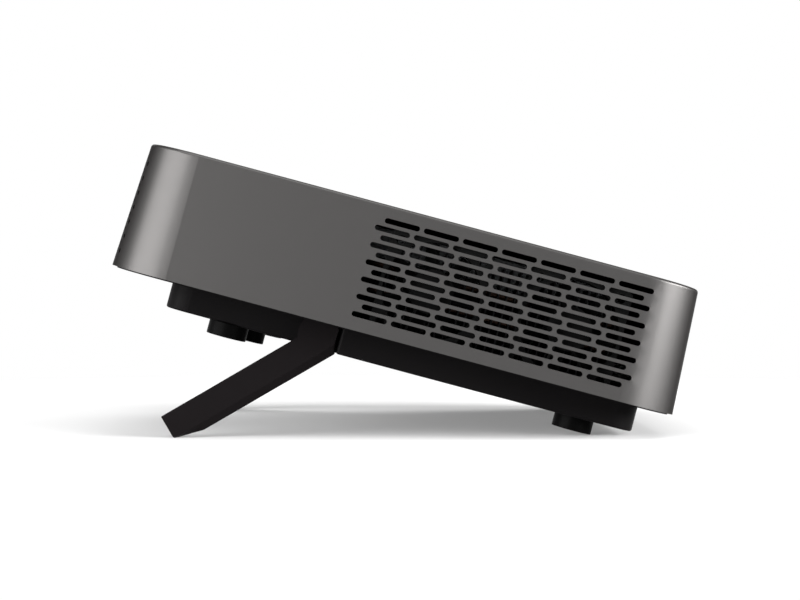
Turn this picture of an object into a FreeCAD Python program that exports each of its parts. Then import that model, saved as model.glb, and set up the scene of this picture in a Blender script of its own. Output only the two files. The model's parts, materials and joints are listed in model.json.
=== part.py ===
import FreeCAD, Part
import math
import os

Vec = FreeCAD.Vector
UP = Vec(0, 0, 1)
ALONG_X = Vec(1, 0, 0)
ALONG_Y = Vec(0, 1, 0)
ORIGIN = Vec(0, 0, 0)

# The projector is modelled level: X runs from the lens end to the connector end, Y from the
# side with the air grille to the side with the disc tray, Z up from the metal band's lower edge.
# At the end every piece is tilted about Y and lifted, so that the part stands on its fold-out stand.

# ---- Metal band ----
BODY_LENGTH = 224.0
BODY_WIDTH = 224.0
BAND_HEIGHT = 48.9
BAND_DRAFT = 3.15
CORNER_RADIUS = 24.0
WALL = 2.5
TOP_EDGE_RADIUS = 1.3
LEDGE_WIDTH = 5.0
LEDGE_THICKNESS = 1.6
COVER_THICKNESS = 2.0
TILT = 15.0
TINY = 0.01

# ---- Clearances ----
FIT_GAP = 0.2
MOVE_GAP = 0.3
PORT_GAP = 0.25
SHAFT_GAP = 0.05

# ---- Air grille in the near side ----
SLOT_LENGTH = 13.6
SLOT_HEIGHT = 2.05
SLOT_PITCH = 15.18
SLOT_DEPTH = 8.5
SLOT_ROW_PITCH = 3.355
SLOT_STAGGER = 3.0
SLOT_COLUMNS = 7
SLOT_ROWS = 12
EXHAUST_ROWS = 6
GRILLE_REAR_GAP = 75.5
GRILLE_BOTTOM_ROW = 6.1

# ---- Round holes in front of the speakers ----
HOLE_RADIUS = 1.0
HOLE_PITCH = 5.8
HOLE_ROWS = 7
HOLE_COLUMNS = 17
HOLE_LAST_COLUMN = 10.2
HOLE_BOTTOM_ROW = 6.0

# ---- Bottom plate and pan ----
PLATE_FLANGE = 0.5
PLATE_SPIGOT = 1.5
PLATE_INSET = 2.0
HOOD_SKIN = 1.2
PAN_FRONT_INSET = 22.6
PAN_REAR_INSET = 12.6
PAN_SIDE_INSET = 15.0
PAN_TAPER = 7.5
PAN_NOSE_SETBACK = 3.0
PAN_DEPTH = 10.8
PAN_CORNER_RADIUS = 10.0
PAN_SIDE_RADIUS = 250.0
PAN_SIDE_BEND_X = 40.0
PAN_STEP_RADIUS = 1.2
PAN_EDGE_RADIUS = 0.8
PAN_WALL = 2.0

# ---- Feet ----
FOOT_RADIUS = 7.85
FOOT_HEIGHT = 5.4
FOOT_EDGE_RADIUS = 0.3
FOOT_SIDE_INSET = 18.0
FOOT_FRONT_INSET = 26.1
FOOT_REAR_INSET = 22.7
BUMPER_FRONT_INSET = 31.6
BUMPER_SIDE_INSET = 39.0

# ---- Fold-out stand ----
HINGE_X = -27.8
HINGE_Z = -5.5
EYE_RADIUS = 8.0
ARM_WIDTH = 9.0
ARM_BEVEL = 3.0
ARM_BEVEL_WIDTH = 3.1
ARM_TOP = 3.3
ARM_BOTTOM = 9.5
ARM_BACK = 1.2
ARM_BACK_LEAN = 0.6
ARM_TAIL = 2.5
TOE_REACH = 67.8
TOE_TOP = 3.5
TOE_BOTTOM = 6.3
TOE_RADIUS = 1.0
HEEL_REACH = 56.5
HEEL_BOTTOM = 9.2
TOE_PAD_LENGTH = 9.0
TOE_PAD_THICKNESS = 1.2
TOE_PAD_INSET = 0.5
SHAFT_RADIUS = 3.0
SHAFT_END = 3.5
BUSH_RADIUS = 4.2
BUSH_LENGTH = 8.0
BEARING_HALF = 7.0
CLIP_LENGTH = 8.0
CLIP_HALF = 5.5
CLIP_SLIT = 1.0

# ---- Screws ----
POST_RADIUS = 4.6
POST_INSET = 12.0
SCREW_RADIUS = 1.25
SCREW_HEAD_RADIUS = 2.4
SCREW_HEAD_HEIGHT = 1.2
SCREW_LENGTH = 9.0
PAN_SCREW_FRONT_INSET = 13.4
PAN_SCREW_REAR_INSET = 11.4
PAN_SCREW_Y = 52.0
PAN_BOSS_RADIUS = 4.0
PLATE_BOSS_HEIGHT = 3.0

# ---- Tripod socket, nominal quarter inch thread ----
TRIPOD_X = -6.0
TRIPOD_RADIUS = 3.175
TRIPOD_DEPTH = 7.0
TRIPOD_INSERT_RADIUS = 4.8
TRIPOD_INSERT_HEIGHT = 8.4
TRIPOD_BOSS_RADIUS = 6.5

# ---- Battery ----
BATTERY_WIDTH = 120.0
BATTERY_HEIGHT = 7.2
BATTERY_REAR_GAP = 19.4
BATTERY_TRIPOD_GAP = 16.0
BATTERY_EDGE_RADIUS = 1.5

# ---- Disc drive ----
DRIVE_HEIGHT = 12.7
DRIVE_FLOOR = 30.4
DRIVE_SHEET = 0.8
DRIVE_SETBACK = 3.2
DRIVE_CORNER_GAP = 1.0
DRIVE_ENGINE_GAP = 5.0
DRIVE_BACK_GAP = 1.5
DRIVE_POST_RADIUS = 3.0
DRIVE_POST_INSET = 6.0
DRIVE_POST_FRONT_X = -12.0
RAIL_THICKNESS = 1.4
RAIL_HEIGHT = 4.0
RAIL_END_GAP = 10.0
TRAY_HEIGHT = 7.4
TRAY_BACK_ROOM = 2.1
TRAY_LIFT = 1.6
TRAY_REAR_WALL = 1.5
TRAY_CORNER_RADIUS = 4.0
DISC_SIDE_ROOM = 4.0
DISC_GAP = 0.4
DISC_FRONT_WALL = 0.8
DISC_WELL = 1.6
TRAY_SKIN = 1.2
BEZEL_HEIGHT = 11.2
HUB_RADIUS = 7.4
HUB_HEIGHT = 1.9
HUB_EDGE_RADIUS = 0.6
PLATTER_RADIUS = 13.5
PLATTER_HEIGHT = 0.8
SPINDLE_RADIUS = 1.5
MOTOR_RADIUS = 13.0
MOTOR_HEIGHT = 4.4
MECH_WIDTH = 44.0
MECH_FRONT_GAP = 2.0
SLED_WIDTH = 33.0
SLED_LENGTH = 10.0
SLED_HEIGHT = 3.6
SLED_RADIUS_IN = 23.0
SLED_RIM_GAP = 5.0
PICKUP_RADIUS = 3.4
PICKUP_GAP = 1.2
ROD_RADIUS = 1.0
ROD_SPAN = 29.0
LEADSCREW_RADIUS = 1.2
JOURNAL_RADIUS = 0.6
MOTOR_END = 2.0
LEADSCREW_OFFSET = 19.0
SLED_MOTOR_WIDTH = 4.6
SLED_MOTOR_LENGTH = 11.0
EJECT_OFFSET = 37.0
EJECT_WIDTH = 9.0
EJECT_HEIGHT = 3.2
EJECT_DEPTH = 4.5
EJECT_PROUD = 0.3
EJECT_TRAVEL = 0.6
EJECT_EDGE_RADIUS = 0.5

# ---- Main board and connectors ----
BOARD_ENGINE_GAP = 18.0
BOARD_WIDTH = 100.0
BOARD_THICKNESS = 1.6
BOARD_REAR_GAP = 2.5
BOARD_FROM_INLET = 12.0
BOARD_HOLE_GAP = 1.0
STANDOFF_HEIGHT = 3.5
STANDOFF_RADIUS = 3.0
CHIPS = ((25.5, 24, 24, 24, 2.4), (66.5, 57, 18, 18, 2.4), (58.5, 21, 14, 10, 2.4),
         (27.5, 62, 12, 20, 2.4), (84.5, 17, 10, 10, 6.0), (50.5, 75, 10, 10, 7.0))
PORT_DEPTH = 14.0
HDMI_FROM_INLET = 74.0
HDMI_WIDTH = 15.0
HDMI_HEIGHT = 5.6
USB_FROM_INLET = 48.0
USB_WIDTH = 13.2
USB_HEIGHT = 6.4
JACKS_FROM_INLET = (28.0, 18.0)
JACK_NOSE_RADIUS = 3.0
JACK_BORE_RADIUS = 1.8
JACK_BODY = 8.0
INLET_CORNER_GAP = 6.0
INLET_NOSE_RADIUS = 4.0
INLET_BORE_RADIUS = 2.9
INLET_PIN_RADIUS = 1.0
INLET_BODY = 11.0
PORT_SKIN = 0.7
PORT_SETBACK = 0.1
TONGUE_THICKNESS = 1.2
TONGUE_MARGIN = 2.2
TONGUE_SETBACK = 1.5

# ---- Cooling ----
FAN_SIZE = 40.0
FAN_DEPTH = 10.0
FAN_PITCH = 54.0
FAN_DUCT_RADIUS = 18.6
FAN_CORNER_RADIUS = 3.0
FAN_HOLE_SPAN = 32.0
FAN_HOLE_RADIUS = 1.7
FAN_STRUTS = 3
FAN_STRUT_TURN = 90.0
ROTOR_SETBACK = 0.6
BLADE_TIP_GAP = 0.5
FAN_HUB_RADIUS = 8.5
FAN_BLADES = 7
BLADE_THICKNESS = 1.2
BLADE_CHORD = 7.0
BLADE_ANGLE = 35.0
FAN_STRUT_WIDTH = 2.2
FAN_STRUT_DEPTH = 1.6
FAN_SHAFT_RADIUS = 1.0
FIN_SETBACK = 28.55
FIN_REACH = 44.85
FIN_PITCH = 3.3
FIN_THICKNESS = 0.6
FIN_DEPTH = 22.0
FIN_HEIGHT = 36.0
FIN_BASE = 2.0
PIPE_RADIUS = 2.5
PIPE_BEND_RADIUS = 16.0
PIPE_STRAIGHT = 1.0
PIPE_HOLE_GAP = 0.05
PIPE_HEIGHTS = (17.0, 27.0)

# ---- Optics ----
OPTIC_Z = 24.0
ENGINE_LENGTH = 38.0
ENGINE_HALF_WIDTH = 24.0
ENGINE_FLOOR = 6.0
ENGINE_TOP = 40.0
ENGINE_WALL = 2.0
ENGINE_SETBACK = 28.0
ENGINE_FOOT_RADIUS = 3.0
BARREL_RADIUS = 16.6
BARREL_BORE = 14.6
NECK_RADIUS = 15.0
NECK_BORE = 13.4
BARREL_INTO_ENGINE = 6.0
BARREL_STOP = 1.5
BARREL_FLANGE = 3.0
BARREL_FLANGE_HALF_WIDTH = 21.0
BARREL_FLANGE_HALF_HEIGHT = 15.8
CELL_WALL = 1.4
CELL_LENGTH = 14.0
CELL_TRAVEL = 1.5
CELL_FRONT_GAP = 1.0
LENS_EDGE = 3.0
LENS_RIM = 1.6
LENS_SETBACK = 3.0
LENS_BULGE = 2.2
RING_RADIUS = 19.0
RING_LENGTH = 9.0
RING_PROUD = 3.0
RING_LIP = 1.5
RING_EDGE_RADIUS = 0.6
GROOVE_RADIUS = 0.4
GROOVE_COUNT = 48
FOCUS_PIN_RADIUS = 1.0
FOCUS_PIN_INSET = 3.0
FOCUS_SLOT_GAP = 0.3
PRISM_SIZE = 19.0
IMAGER_THICKNESS = 1.6
IMAGER_WIDTH = 36.0
IMAGER_CHIP = 14.0
IMAGER_GAP = 1.0
IMAGER_HEIGHT = 30.0
PRISM_GAP = 2.0
LED_SIZE = 11.0
LED_THICKNESS = 3.0
LED_COUNT = 3
LED_WINDOW = 3.0
LED_MARGIN = 2.0
SPREADER_THICKNESS = 7.0
IR_Y = 36.0
IR_WIDTH = 15.0
IR_HEIGHT = 7.0
IR_CORNER_RADIUS = 1.5
IR_THICKNESS = 2.2

# ---- Speakers ----
SPEAKER_SIDE_INSET = 43.0
SPEAKER_RADIUS = 17.5
SPEAKER_MARGIN = 1.0
SPEAKER_RIM = 2.0
SPEAKER_FOOT_HALF = 6.0
DUST_CAP_RADIUS = 4.5
SPEAKER_FLANGE = 1.6
SPEAKER_DEPTH = 11.0
MAGNET_RADIUS = 11.0
MAGNET_DEPTH = 6.0
CONE_DEPTH = 4.0
CLOTH_THICKNESS = 0.5
CLOTH_REACH = 8.0

# ---- Keys in the top cover ----
PAD_SETBACK = 21.0
OK_KEY_RADIUS = 6.0
ARROW_INNER_RADIUS = 8.2
ARROW_OUTER_RADIUS = 17.0
ARROW_SPAN = 74.0
POWER_KEY_RADIUS = 6.5
POWER_KEY_Y = -32.0
KEY_PROUD = 0.6
KEY_GAP = 0.3
KEY_LIP = 0.9
KEY_LIP_HEIGHT = 0.8
KEY_TRAVEL = 0.4
KEY_SLACK = 0.1
KEY_STEM_RADIUS = 1.6
KEY_BOARD_Z = 41.4
KEY_BOARD_THICKNESS = 0.9
DOME_HEIGHT = 0.5
DOME_RADIUS = 2.4
KEY_POST_RADIUS = 2.0
KEY_POST_REACH = 20.0
KEY_POST_FAR_Y = 22.4
ARROW_KEYS = ("down_key", "right_key", "up_key", "left_key")

# ---- Places worked out from the sizes above ----
SLOPE = math.tan(math.radians(BAND_DRAFT))
COVER_BOTTOM = BAND_HEIGHT - COVER_THICKNESS
LEDGE_BOTTOM = COVER_BOTTOM - LEDGE_THICKNESS
PLATE_TOP = PLATE_SPIGOT
PAN_TOP = -PLATE_FLANGE
PAN_BOTTOM = -PAN_DEPTH
PAN_INSIDE = PAN_BOTTOM + PAN_WALL
FOOT_BOTTOM = PAN_BOTTOM - FOOT_HEIGHT
PAN_FRONT = BODY_LENGTH / 2 - PAN_FRONT_INSET
PAN_REAR = BODY_LENGTH / 2 - PAN_REAR_INSET
PAN_HALF_WIDTH = BODY_WIDTH / 2 - PAN_SIDE_INSET
PAN_REAR_HALF_WIDTH = PAN_HALF_WIDTH - PAN_TAPER
PAN_SCREW_FRONT_X = PAN_SCREW_FRONT_INSET - PAN_FRONT
PAN_SCREW_REAR_X = PAN_REAR - PAN_SCREW_REAR_INSET
FOOT_FRONT_X = FOOT_FRONT_INSET - PAN_FRONT
FOOT_REAR_X = PAN_REAR - FOOT_REAR_INSET
BUMPER_X = BUMPER_FRONT_INSET - PAN_FRONT
FOOT_Y = PAN_HALF_WIDTH - FOOT_SIDE_INSET
BUMPER_Y = PAN_HALF_WIDTH - BUMPER_SIDE_INSET
BATTERY_RIGHT = PAN_REAR - BATTERY_REAR_GAP
BATTERY_LEFT = TRIPOD_X + BATTERY_TRIPOD_GAP
ARM_OUTER = PAN_HALF_WIDTH
ARM_INNER = ARM_OUTER - ARM_WIDTH
PAN_NECK_HALF_WIDTH = ARM_INNER - 2 * MOVE_GAP
STEP_X = HINGE_X + EYE_RADIUS + MOVE_GAP
HINGE = Vec(HINGE_X, 0, HINGE_Z)


def outer_half(size, z):
    """Half of the band's outer size at a height."""
    return size / 2 - z * SLOPE


def inner_half(size, z):
    """Half of the band's inner size at a height."""
    return outer_half(size, z) - WALL


BEZEL_BOTTOM = DRIVE_FLOOR + (DRIVE_HEIGHT - BEZEL_HEIGHT) / 2
BEZEL_TOP = BEZEL_BOTTOM + BEZEL_HEIGHT
ENGINE_FRONT = ENGINE_SETBACK - BODY_LENGTH / 2
ENGINE_REAR = ENGINE_FRONT + ENGINE_LENGTH
DRIVE_LEFT = ENGINE_REAR + DRIVE_ENGINE_GAP
DRIVE_RIGHT = BODY_LENGTH / 2 - CORNER_RADIUS - DRIVE_CORNER_GAP
DRIVE_WIDTH = DRIVE_RIGHT - DRIVE_LEFT
DRIVE_X = (DRIVE_LEFT + DRIVE_RIGHT) / 2
DISC_RADIUS = DRIVE_WIDTH / 2 - DISC_SIDE_ROOM
TRAY_DEPTH = DISC_FRONT_WALL + 2 * (DISC_RADIUS + DISC_GAP) + TRAY_BACK_ROOM
TRAY_FRONT = inner_half(BODY_WIDTH, BEZEL_TOP)
DRIVE_FRONT = TRAY_FRONT - DRIVE_SETBACK
TRAY_REAR = TRAY_FRONT - TRAY_DEPTH
DRIVE_REAR = TRAY_REAR - DRIVE_BACK_GAP
RAIL_LENGTH = DRIVE_FRONT - DRIVE_REAR - RAIL_END_GAP
EJECT_X = DRIVE_X + EJECT_OFFSET
SLED_TRAVEL = DISC_RADIUS - SLED_RIM_GAP - SLED_RADIUS_IN
TRAY_FLOOR = DRIVE_FLOOR + DRIVE_SHEET + TRAY_LIFT
TRAY_TOP = TRAY_FLOOR + TRAY_HEIGHT
WELL_FLOOR = TRAY_TOP - DISC_WELL
SKIN_BOTTOM = WELL_FLOOR - TRAY_SKIN
RAIL_OUTER = DRIVE_WIDTH / 2 - DRIVE_SHEET - MOVE_GAP
TRAY_HALF_WIDTH = RAIL_OUTER - RAIL_THICKNESS - MOVE_GAP
RAIL_MIDDLE = (TRAY_FLOOR + TRAY_TOP) / 2
DISC_Y = TRAY_FRONT - DISC_RADIUS - DISC_GAP - DISC_FRONT_WALL
ROD_Z = (TRAY_FLOOR + SKIN_BOTTOM) / 2

BOARD_Z = PLATE_TOP + STANDOFF_HEIGHT
BOARD_TOP = BOARD_Z + BOARD_THICKNESS
BOARD_REAR = inner_half(BODY_LENGTH, 0) - BOARD_REAR_GAP
BOARD_FRONT = ENGINE_REAR + BOARD_ENGINE_GAP
INLET_Y = BODY_WIDTH / 2 - CORNER_RADIUS - INLET_CORNER_GAP
JACK_Y = [INLET_Y - step for step in JACKS_FROM_INLET]
USB_Y = INLET_Y - USB_FROM_INLET
HDMI_Y = INLET_Y - HDMI_FROM_INLET
BOARD_FAR = INLET_Y + BOARD_FROM_INLET
BOARD_NEAR = BOARD_FAR - BOARD_WIDTH

FAN_Z = PLATE_TOP + FAN_SIZE / 2
FAN_OUTER = -inner_half(BODY_WIDTH, PLATE_TOP + FAN_SIZE) + FIT_GAP
FAN_INNER = FAN_OUTER + FAN_DEPTH
FIN_NEAR = FAN_INNER + FIT_GAP
GRILLE_X = BODY_LENGTH / 2 - GRILLE_REAR_GAP
FIN_LEFT = (ENGINE_REAR + HINGE_X) / 2 + FIN_SETBACK
FIN_ROOM = GRILLE_X + FIN_REACH - FIN_LEFT
FIN_COUNT = int((FIN_ROOM - FIN_THICKNESS) / FIN_PITCH + TINY) + 1
FIN_WIDTH = (FIN_COUNT - 1) * FIN_PITCH + FIN_THICKNESS
PIPE_Y = FIN_NEAR + FIN_DEPTH / 2

FACE_X = -outer_half(BODY_LENGTH, OPTIC_Z)
RING_FRONT = FACE_X - RING_PROUD
RING_BACK = RING_FRONT + RING_LENGTH
BARREL_FRONT = RING_FRONT + RING_LIP + FIT_GAP
BARREL_BACK = ENGINE_FRONT + BARREL_INTO_ENGINE
CELL_RADIUS = BARREL_BORE - SHAFT_GAP
CELL_FRONT = BARREL_FRONT + CELL_TRAVEL + CELL_FRONT_GAP
LENS_RADIUS = CELL_RADIUS - CELL_WALL
SPEAKER_Y = BODY_WIDTH / 2 - SPEAKER_SIDE_INSET
PAD_X = ENGINE_REAR - PAD_SETBACK
COVER_HALF_X = inner_half(BODY_LENGTH, BAND_HEIGHT) - FIT_GAP
COVER_HALF_Y = inner_half(BODY_WIDTH, BAND_HEIGHT) - FIT_GAP


# ======== Simple solids ========

def box(x0, x1, y0, y1, z0, z1):
    """Box between two corners."""
    return Part.makeBox(x1 - x0, y1 - y0, z1 - z0, Vec(x0, y0, z0))


def rod(radius, start, end):
    """Round bar between two points."""
    return Part.makeCylinder(radius, (end - start).Length, start, end - start)


def ring(outer, inner, start, end):
    """Round tube between two points."""
    return rod(outer, start, end).cut(rod(inner, start, end))


def join(shapes):
    """One solid from several that touch or overlap."""
    return shapes[0].fuse(shapes[1:]).removeSplitter()


def group(shapes):
    """Several separate solids as one node."""
    return Part.makeCompound(shapes)


def far_side(shape):
    """The same shape on the other side of the middle."""
    return shape.mirror(ORIGIN, ALONG_Y)


def both_sides(shape):
    """A near piece with its far twin."""
    return group([shape, far_side(shape)])


def unit(vector):
    """Vector of length one."""
    return Vec(vector).normalize()


def flat(u, v):
    """Point of a plan outline."""
    return Vec(u, v, 0)


def upright(u, v):
    """Point of an outline seen along Y."""
    return Vec(u, 0, v)


def corner_arc(before, point, after, radius):
    """Start, middle and end of the arc that rounds a corner."""
    to_before = unit(before - point)
    to_after = unit(after - point)
    half_angle = to_before.getAngle(to_after) / 2
    reach = radius / math.tan(half_angle)
    centre = point + unit(to_before + to_after) * (radius / math.sin(half_angle))
    middle = centre + unit(point - centre) * radius
    return point + to_before * reach, middle, point + to_after * reach


def outline(corners, place):
    """Closed wire through corners (u, v, radius), with the rounded ones as tangent arcs."""
    points = [place(u, v) for u, v, radius in corners]
    count = len(points)
    turns = []
    for i in range(count):
        radius = corners[i][2]
        if radius > 0:
            turns.append(corner_arc(points[i - 1], points[i], points[(i + 1) % count], radius))
        else:
            turns.append((points[i], None, points[i]))
    edges = []
    for i in range(count):
        start, middle, end = turns[i]
        if middle is not None:
            edges.append(Part.Arc(start, middle, end).toShape())
        next_start = turns[(i + 1) % count][0]
        if (next_start - end).Length > TINY:
            edges.append(Part.LineSegment(end, next_start).toShape())
    return Part.Wire(edges)


def rounded_rectangle(half_x, half_y, radius):
    """Plan outline with four equal corners."""
    signs = ((-1, -1), (1, -1), (1, 1), (-1, 1))
    return outline([(sx * half_x, sy * half_y, radius) for sx, sy in signs], flat)


def plate(wire, z0, z1):
    """Solid of a plan outline between two heights."""
    face = Part.Face(wire)
    face.translate(Vec(0, 0, z0))
    return face.extrude(Vec(0, 0, z1 - z0))


def drafted_block(z0, z1, inset):
    """The band's leaning outer form, moved inwards, between two heights."""
    wires = []
    for z in (z0, z1):
        wire = rounded_rectangle(outer_half(BODY_LENGTH, z) - inset, outer_half(BODY_WIDTH, z) - inset,
                                 CORNER_RADIUS - z * SLOPE - inset)
        wire.translate(Vec(0, 0, z))
        wires.append(wire)
    return Part.makeLoft(wires, True, True)


# ======== Metal band ========

def slot_cutter(x, z, near):
    """Long hole with round ends through one side wall."""
    reach = (SLOT_LENGTH - SLOT_HEIGHT) / 2
    y0 = -BODY_WIDTH / 2 - 1 if near else BODY_WIDTH / 2 + 1
    depth = SLOT_DEPTH if near else -SLOT_DEPTH
    r = SLOT_HEIGHT / 2
    left = Part.Arc(Vec(x - reach, y0, z - r), Vec(x - reach - r, y0, z), Vec(x - reach, y0, z + r))
    right = Part.Arc(Vec(x + reach, y0, z + r), Vec(x + reach + r, y0, z), Vec(x + reach, y0, z - r))
    top = Part.LineSegment(Vec(x - reach, y0, z + r), Vec(x + reach, y0, z + r))
    bottom = Part.LineSegment(Vec(x + reach, y0, z - r), Vec(x - reach, y0, z - r))
    wire = Part.Wire([left.toShape(), top.toShape(), right.toShape(), bottom.toShape()])
    return Part.Face(wire).extrude(Vec(0, depth, 0))


def grille_cutters(rows, near):
    """Staggered rows of slots, counted up from the lowest."""
    cutters = []
    for row in range(rows):
        z = GRILLE_BOTTOM_ROW + row * SLOT_ROW_PITCH
        shift = SLOT_STAGGER / 2 if row % 2 else -SLOT_STAGGER / 2
        for column in range(SLOT_COLUMNS):
            x = GRILLE_X + shift + (column - (SLOT_COLUMNS - 1) / 2) * SLOT_PITCH
            cutters.append(slot_cutter(x, z, near))
    return cutters


def speaker_hole_cutters():
    """Holes on a diagonal grid, the outer columns running round the front corner."""
    cutters = []
    flat_end = BODY_WIDTH / 2 - CORNER_RADIUS
    for column in range(HOLE_COLUMNS):
        along = flat_end + HOLE_LAST_COLUMN - column * HOLE_PITCH / 2
        turn = max(0.0, along - flat_end) / CORNER_RADIUS
        outward = Vec(-math.cos(turn), math.sin(turn), 0)
        centre = Vec(-BODY_LENGTH / 2 + CORNER_RADIUS, min(along, flat_end), 0)
        for row in range(HOLE_ROWS):
            z = HOLE_BOTTOM_ROW + row * HOLE_PITCH + (column % 2) * HOLE_PITCH / 2
            start = centre + outward * (CORNER_RADIUS - WALL - 4) + Vec(0, 0, z)
            end = centre + outward * (CORNER_RADIUS + 1) + Vec(0, 0, z)
            cutters.append(rod(HOLE_RADIUS, start, end))
    return cutters + [far_side(cutter) for cutter in cutters]


def port_cutters():
    """Openings in the rear wall for the connectors."""
    x0 = inner_half(BODY_LENGTH, BAND_HEIGHT) - 1
    x1 = BODY_LENGTH / 2 + 1
    cutters = []
    for y, width, height in ((HDMI_Y, HDMI_WIDTH, HDMI_HEIGHT), (USB_Y, USB_WIDTH, USB_HEIGHT)):
        cutters.append(box(x0, x1, y - width / 2 - PORT_GAP, y + width / 2 + PORT_GAP,
                           BOARD_TOP - PORT_GAP, BOARD_TOP + height + PORT_GAP))
    for y in JACK_Y:
        z = BOARD_TOP + JACK_BODY / 2
        cutters.append(rod(JACK_NOSE_RADIUS + PORT_GAP, Vec(x0, y, z), Vec(x1, y, z)))
    z = BOARD_TOP + INLET_BODY / 2
    cutters.append(rod(INLET_NOSE_RADIUS + PORT_GAP, Vec(x0, INLET_Y, z), Vec(x1, INLET_Y, z)))
    return cutters


def corner_places():
    """Plan places of the four corner screws."""
    x = BODY_LENGTH / 2 - POST_INSET
    y = BODY_WIDTH / 2 - POST_INSET
    return [(-x, -y), (x, -y), (x, y), (-x, y)]


def band_housing():
    shell = drafted_block(0, BAND_HEIGHT, 0)
    top_edges = [edge for edge in shell.Edges if edge.BoundBox.ZMin > BAND_HEIGHT - TINY]
    shell = shell.makeFillet(TOP_EDGE_RADIUS, top_edges)
    cavity = drafted_block(-1, LEDGE_BOTTOM, WALL)
    throat = plate(rounded_rectangle(COVER_HALF_X - LEDGE_WIDTH, COVER_HALF_Y - LEDGE_WIDTH,
                                     CORNER_RADIUS - WALL - LEDGE_WIDTH), 0, BAND_HEIGHT + 1)
    rebate = plate(rounded_rectangle(COVER_HALF_X + FIT_GAP, COVER_HALF_Y + FIT_GAP,
                                     CORNER_RADIUS - BAND_HEIGHT * SLOPE - WALL),
                   COVER_BOTTOM, BAND_HEIGHT + 1)
    shell = shell.cut([cavity, throat, rebate])
    posts = [rod(POST_RADIUS, Vec(x, y, PLATE_TOP), Vec(x, y, LEDGE_BOTTOM + LEDGE_THICKNESS / 2))
             for x, y in corner_places()]
    inside = drafted_block(0, BAND_HEIGHT, WALL / 2)
    shell = join([shell] + [post.common(inside) for post in posts])
    cutters = grille_cutters(SLOT_ROWS, True) + grille_cutters(EXHAUST_ROWS, False)
    cutters = cutters + speaker_hole_cutters() + port_cutters()
    cutters.append(rod(RING_RADIUS + MOVE_GAP, Vec(-BODY_LENGTH / 2 - 1, 0, OPTIC_Z),
                       Vec(RING_BACK, 0, OPTIC_Z)))
    cutters.append(ir_window_block(FIT_GAP / 2))
    cutters.append(box(DRIVE_X - DRIVE_WIDTH / 2, DRIVE_X + DRIVE_WIDTH / 2,
                       TRAY_FRONT - 1, BODY_WIDTH / 2 + 1,
                       BEZEL_BOTTOM - MOVE_GAP, BEZEL_TOP + MOVE_GAP))
    for x, y in corner_places():
        cutters.append(rod(SCREW_RADIUS, Vec(x, y, PLATE_TOP), Vec(x, y, PLATE_TOP + SCREW_LENGTH)))
    return shell.cut(cutters)


def ir_window_block(grow):
    """Upright rounded block through the front wall."""
    half_width = IR_WIDTH / 2 + grow
    half_height = IR_HEIGHT / 2 + grow
    signs = ((-1, -1), (1, -1), (1, 1), (-1, 1))
    corners = [(sy * half_width, sz * half_height, IR_CORNER_RADIUS) for sy, sz in signs]
    x0 = -BODY_LENGTH / 2 - 1
    wire = outline(corners, lambda u, v: Vec(x0, IR_Y + u, OPTIC_Z + v))
    return Part.Face(wire).extrude(Vec(WALL + 4, 0, 0))


def ir_window():
    lens = ir_window_block(0).common(drafted_block(0, BAND_HEIGHT, 0))
    return lens.cut(drafted_block(0, BAND_HEIGHT, IR_THICKNESS))


# ======== Top cover and keys ========

def arrow_key_face(angle, grow):
    """Ring segment of one arrow key at z 0."""
    r0 = ARROW_INNER_RADIUS - grow
    r1 = ARROW_OUTER_RADIUS + grow
    ends = []
    for radius in (r0, r1):
        half = math.radians(ARROW_SPAN / 2) + math.asin(grow / radius)
        ends.append([Vec(PAD_X + radius * math.cos(angle + k * half), radius * math.sin(angle + k * half), 0)
                     for k in (-1, 0, 1)])
    inner, outer = ends
    edges = [Part.Arc(outer[0], outer[1], outer[2]).toShape(),
             Part.LineSegment(outer[2], inner[2]).toShape(),
             Part.Arc(inner[2], inner[1], inner[0]).toShape(),
             Part.LineSegment(inner[0], outer[0]).toShape()]
    return Part.Face(Part.Wire(edges))


def round_key_face(y, radius, grow):
    """Disc of a round key at z 0."""
    circle = Part.Circle(Vec(PAD_X, y, 0), UP, radius + grow)
    return Part.Face(Part.Wire([circle.toShape()]))


def key_faces(grow):
    """Plan face of each key by name, made larger all round by grow."""
    faces = {"ok_key": round_key_face(0, OK_KEY_RADIUS, grow),
             "power_key": round_key_face(POWER_KEY_Y, POWER_KEY_RADIUS, grow)}
    for k, name in enumerate(ARROW_KEYS):
        faces[name] = arrow_key_face(k * math.pi / 2, grow)
    return faces


def key_centres():
    """Place of each key's stem."""
    middle = (ARROW_INNER_RADIUS + ARROW_OUTER_RADIUS) / 2
    centres = {"ok_key": (PAD_X, 0), "power_key": (PAD_X, POWER_KEY_Y)}
    for k, name in enumerate(ARROW_KEYS):
        turn = k * math.pi / 2
        centres[name] = (PAD_X + middle * math.cos(turn), middle * math.sin(turn))
    return centres


def raised(face, z0, z1):
    """Solid of a plan face between two heights."""
    copy = face.copy()
    copy.translate(Vec(0, 0, z0))
    return copy.extrude(Vec(0, 0, z1 - z0))


def key(name):
    lip_top = COVER_BOTTOM - MOVE_GAP
    lip_bottom = lip_top - KEY_LIP_HEIGHT
    lip_grow = KEY_LIP if name in ("ok_key", "power_key") else KEY_LIP / 2
    cap = raised(key_faces(0)[name], lip_bottom, BAND_HEIGHT + KEY_PROUD)
    lip = raised(key_faces(lip_grow)[name], lip_bottom, lip_top)
    x, y = key_centres()[name]
    dome_top = KEY_BOARD_Z + KEY_BOARD_THICKNESS + DOME_HEIGHT
    stem = rod(KEY_STEM_RADIUS, Vec(x, y, dome_top + KEY_TRAVEL + KEY_SLACK), Vec(x, y, lip_bottom))
    return join([cap, lip, stem])


def key_post_places():
    """Plan places of the posts that carry the key board."""
    return [(PAD_X + sx * KEY_POST_REACH, y) for sx in (-1, 1) for y in (POWER_KEY_Y, KEY_POST_FAR_Y)]


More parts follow.
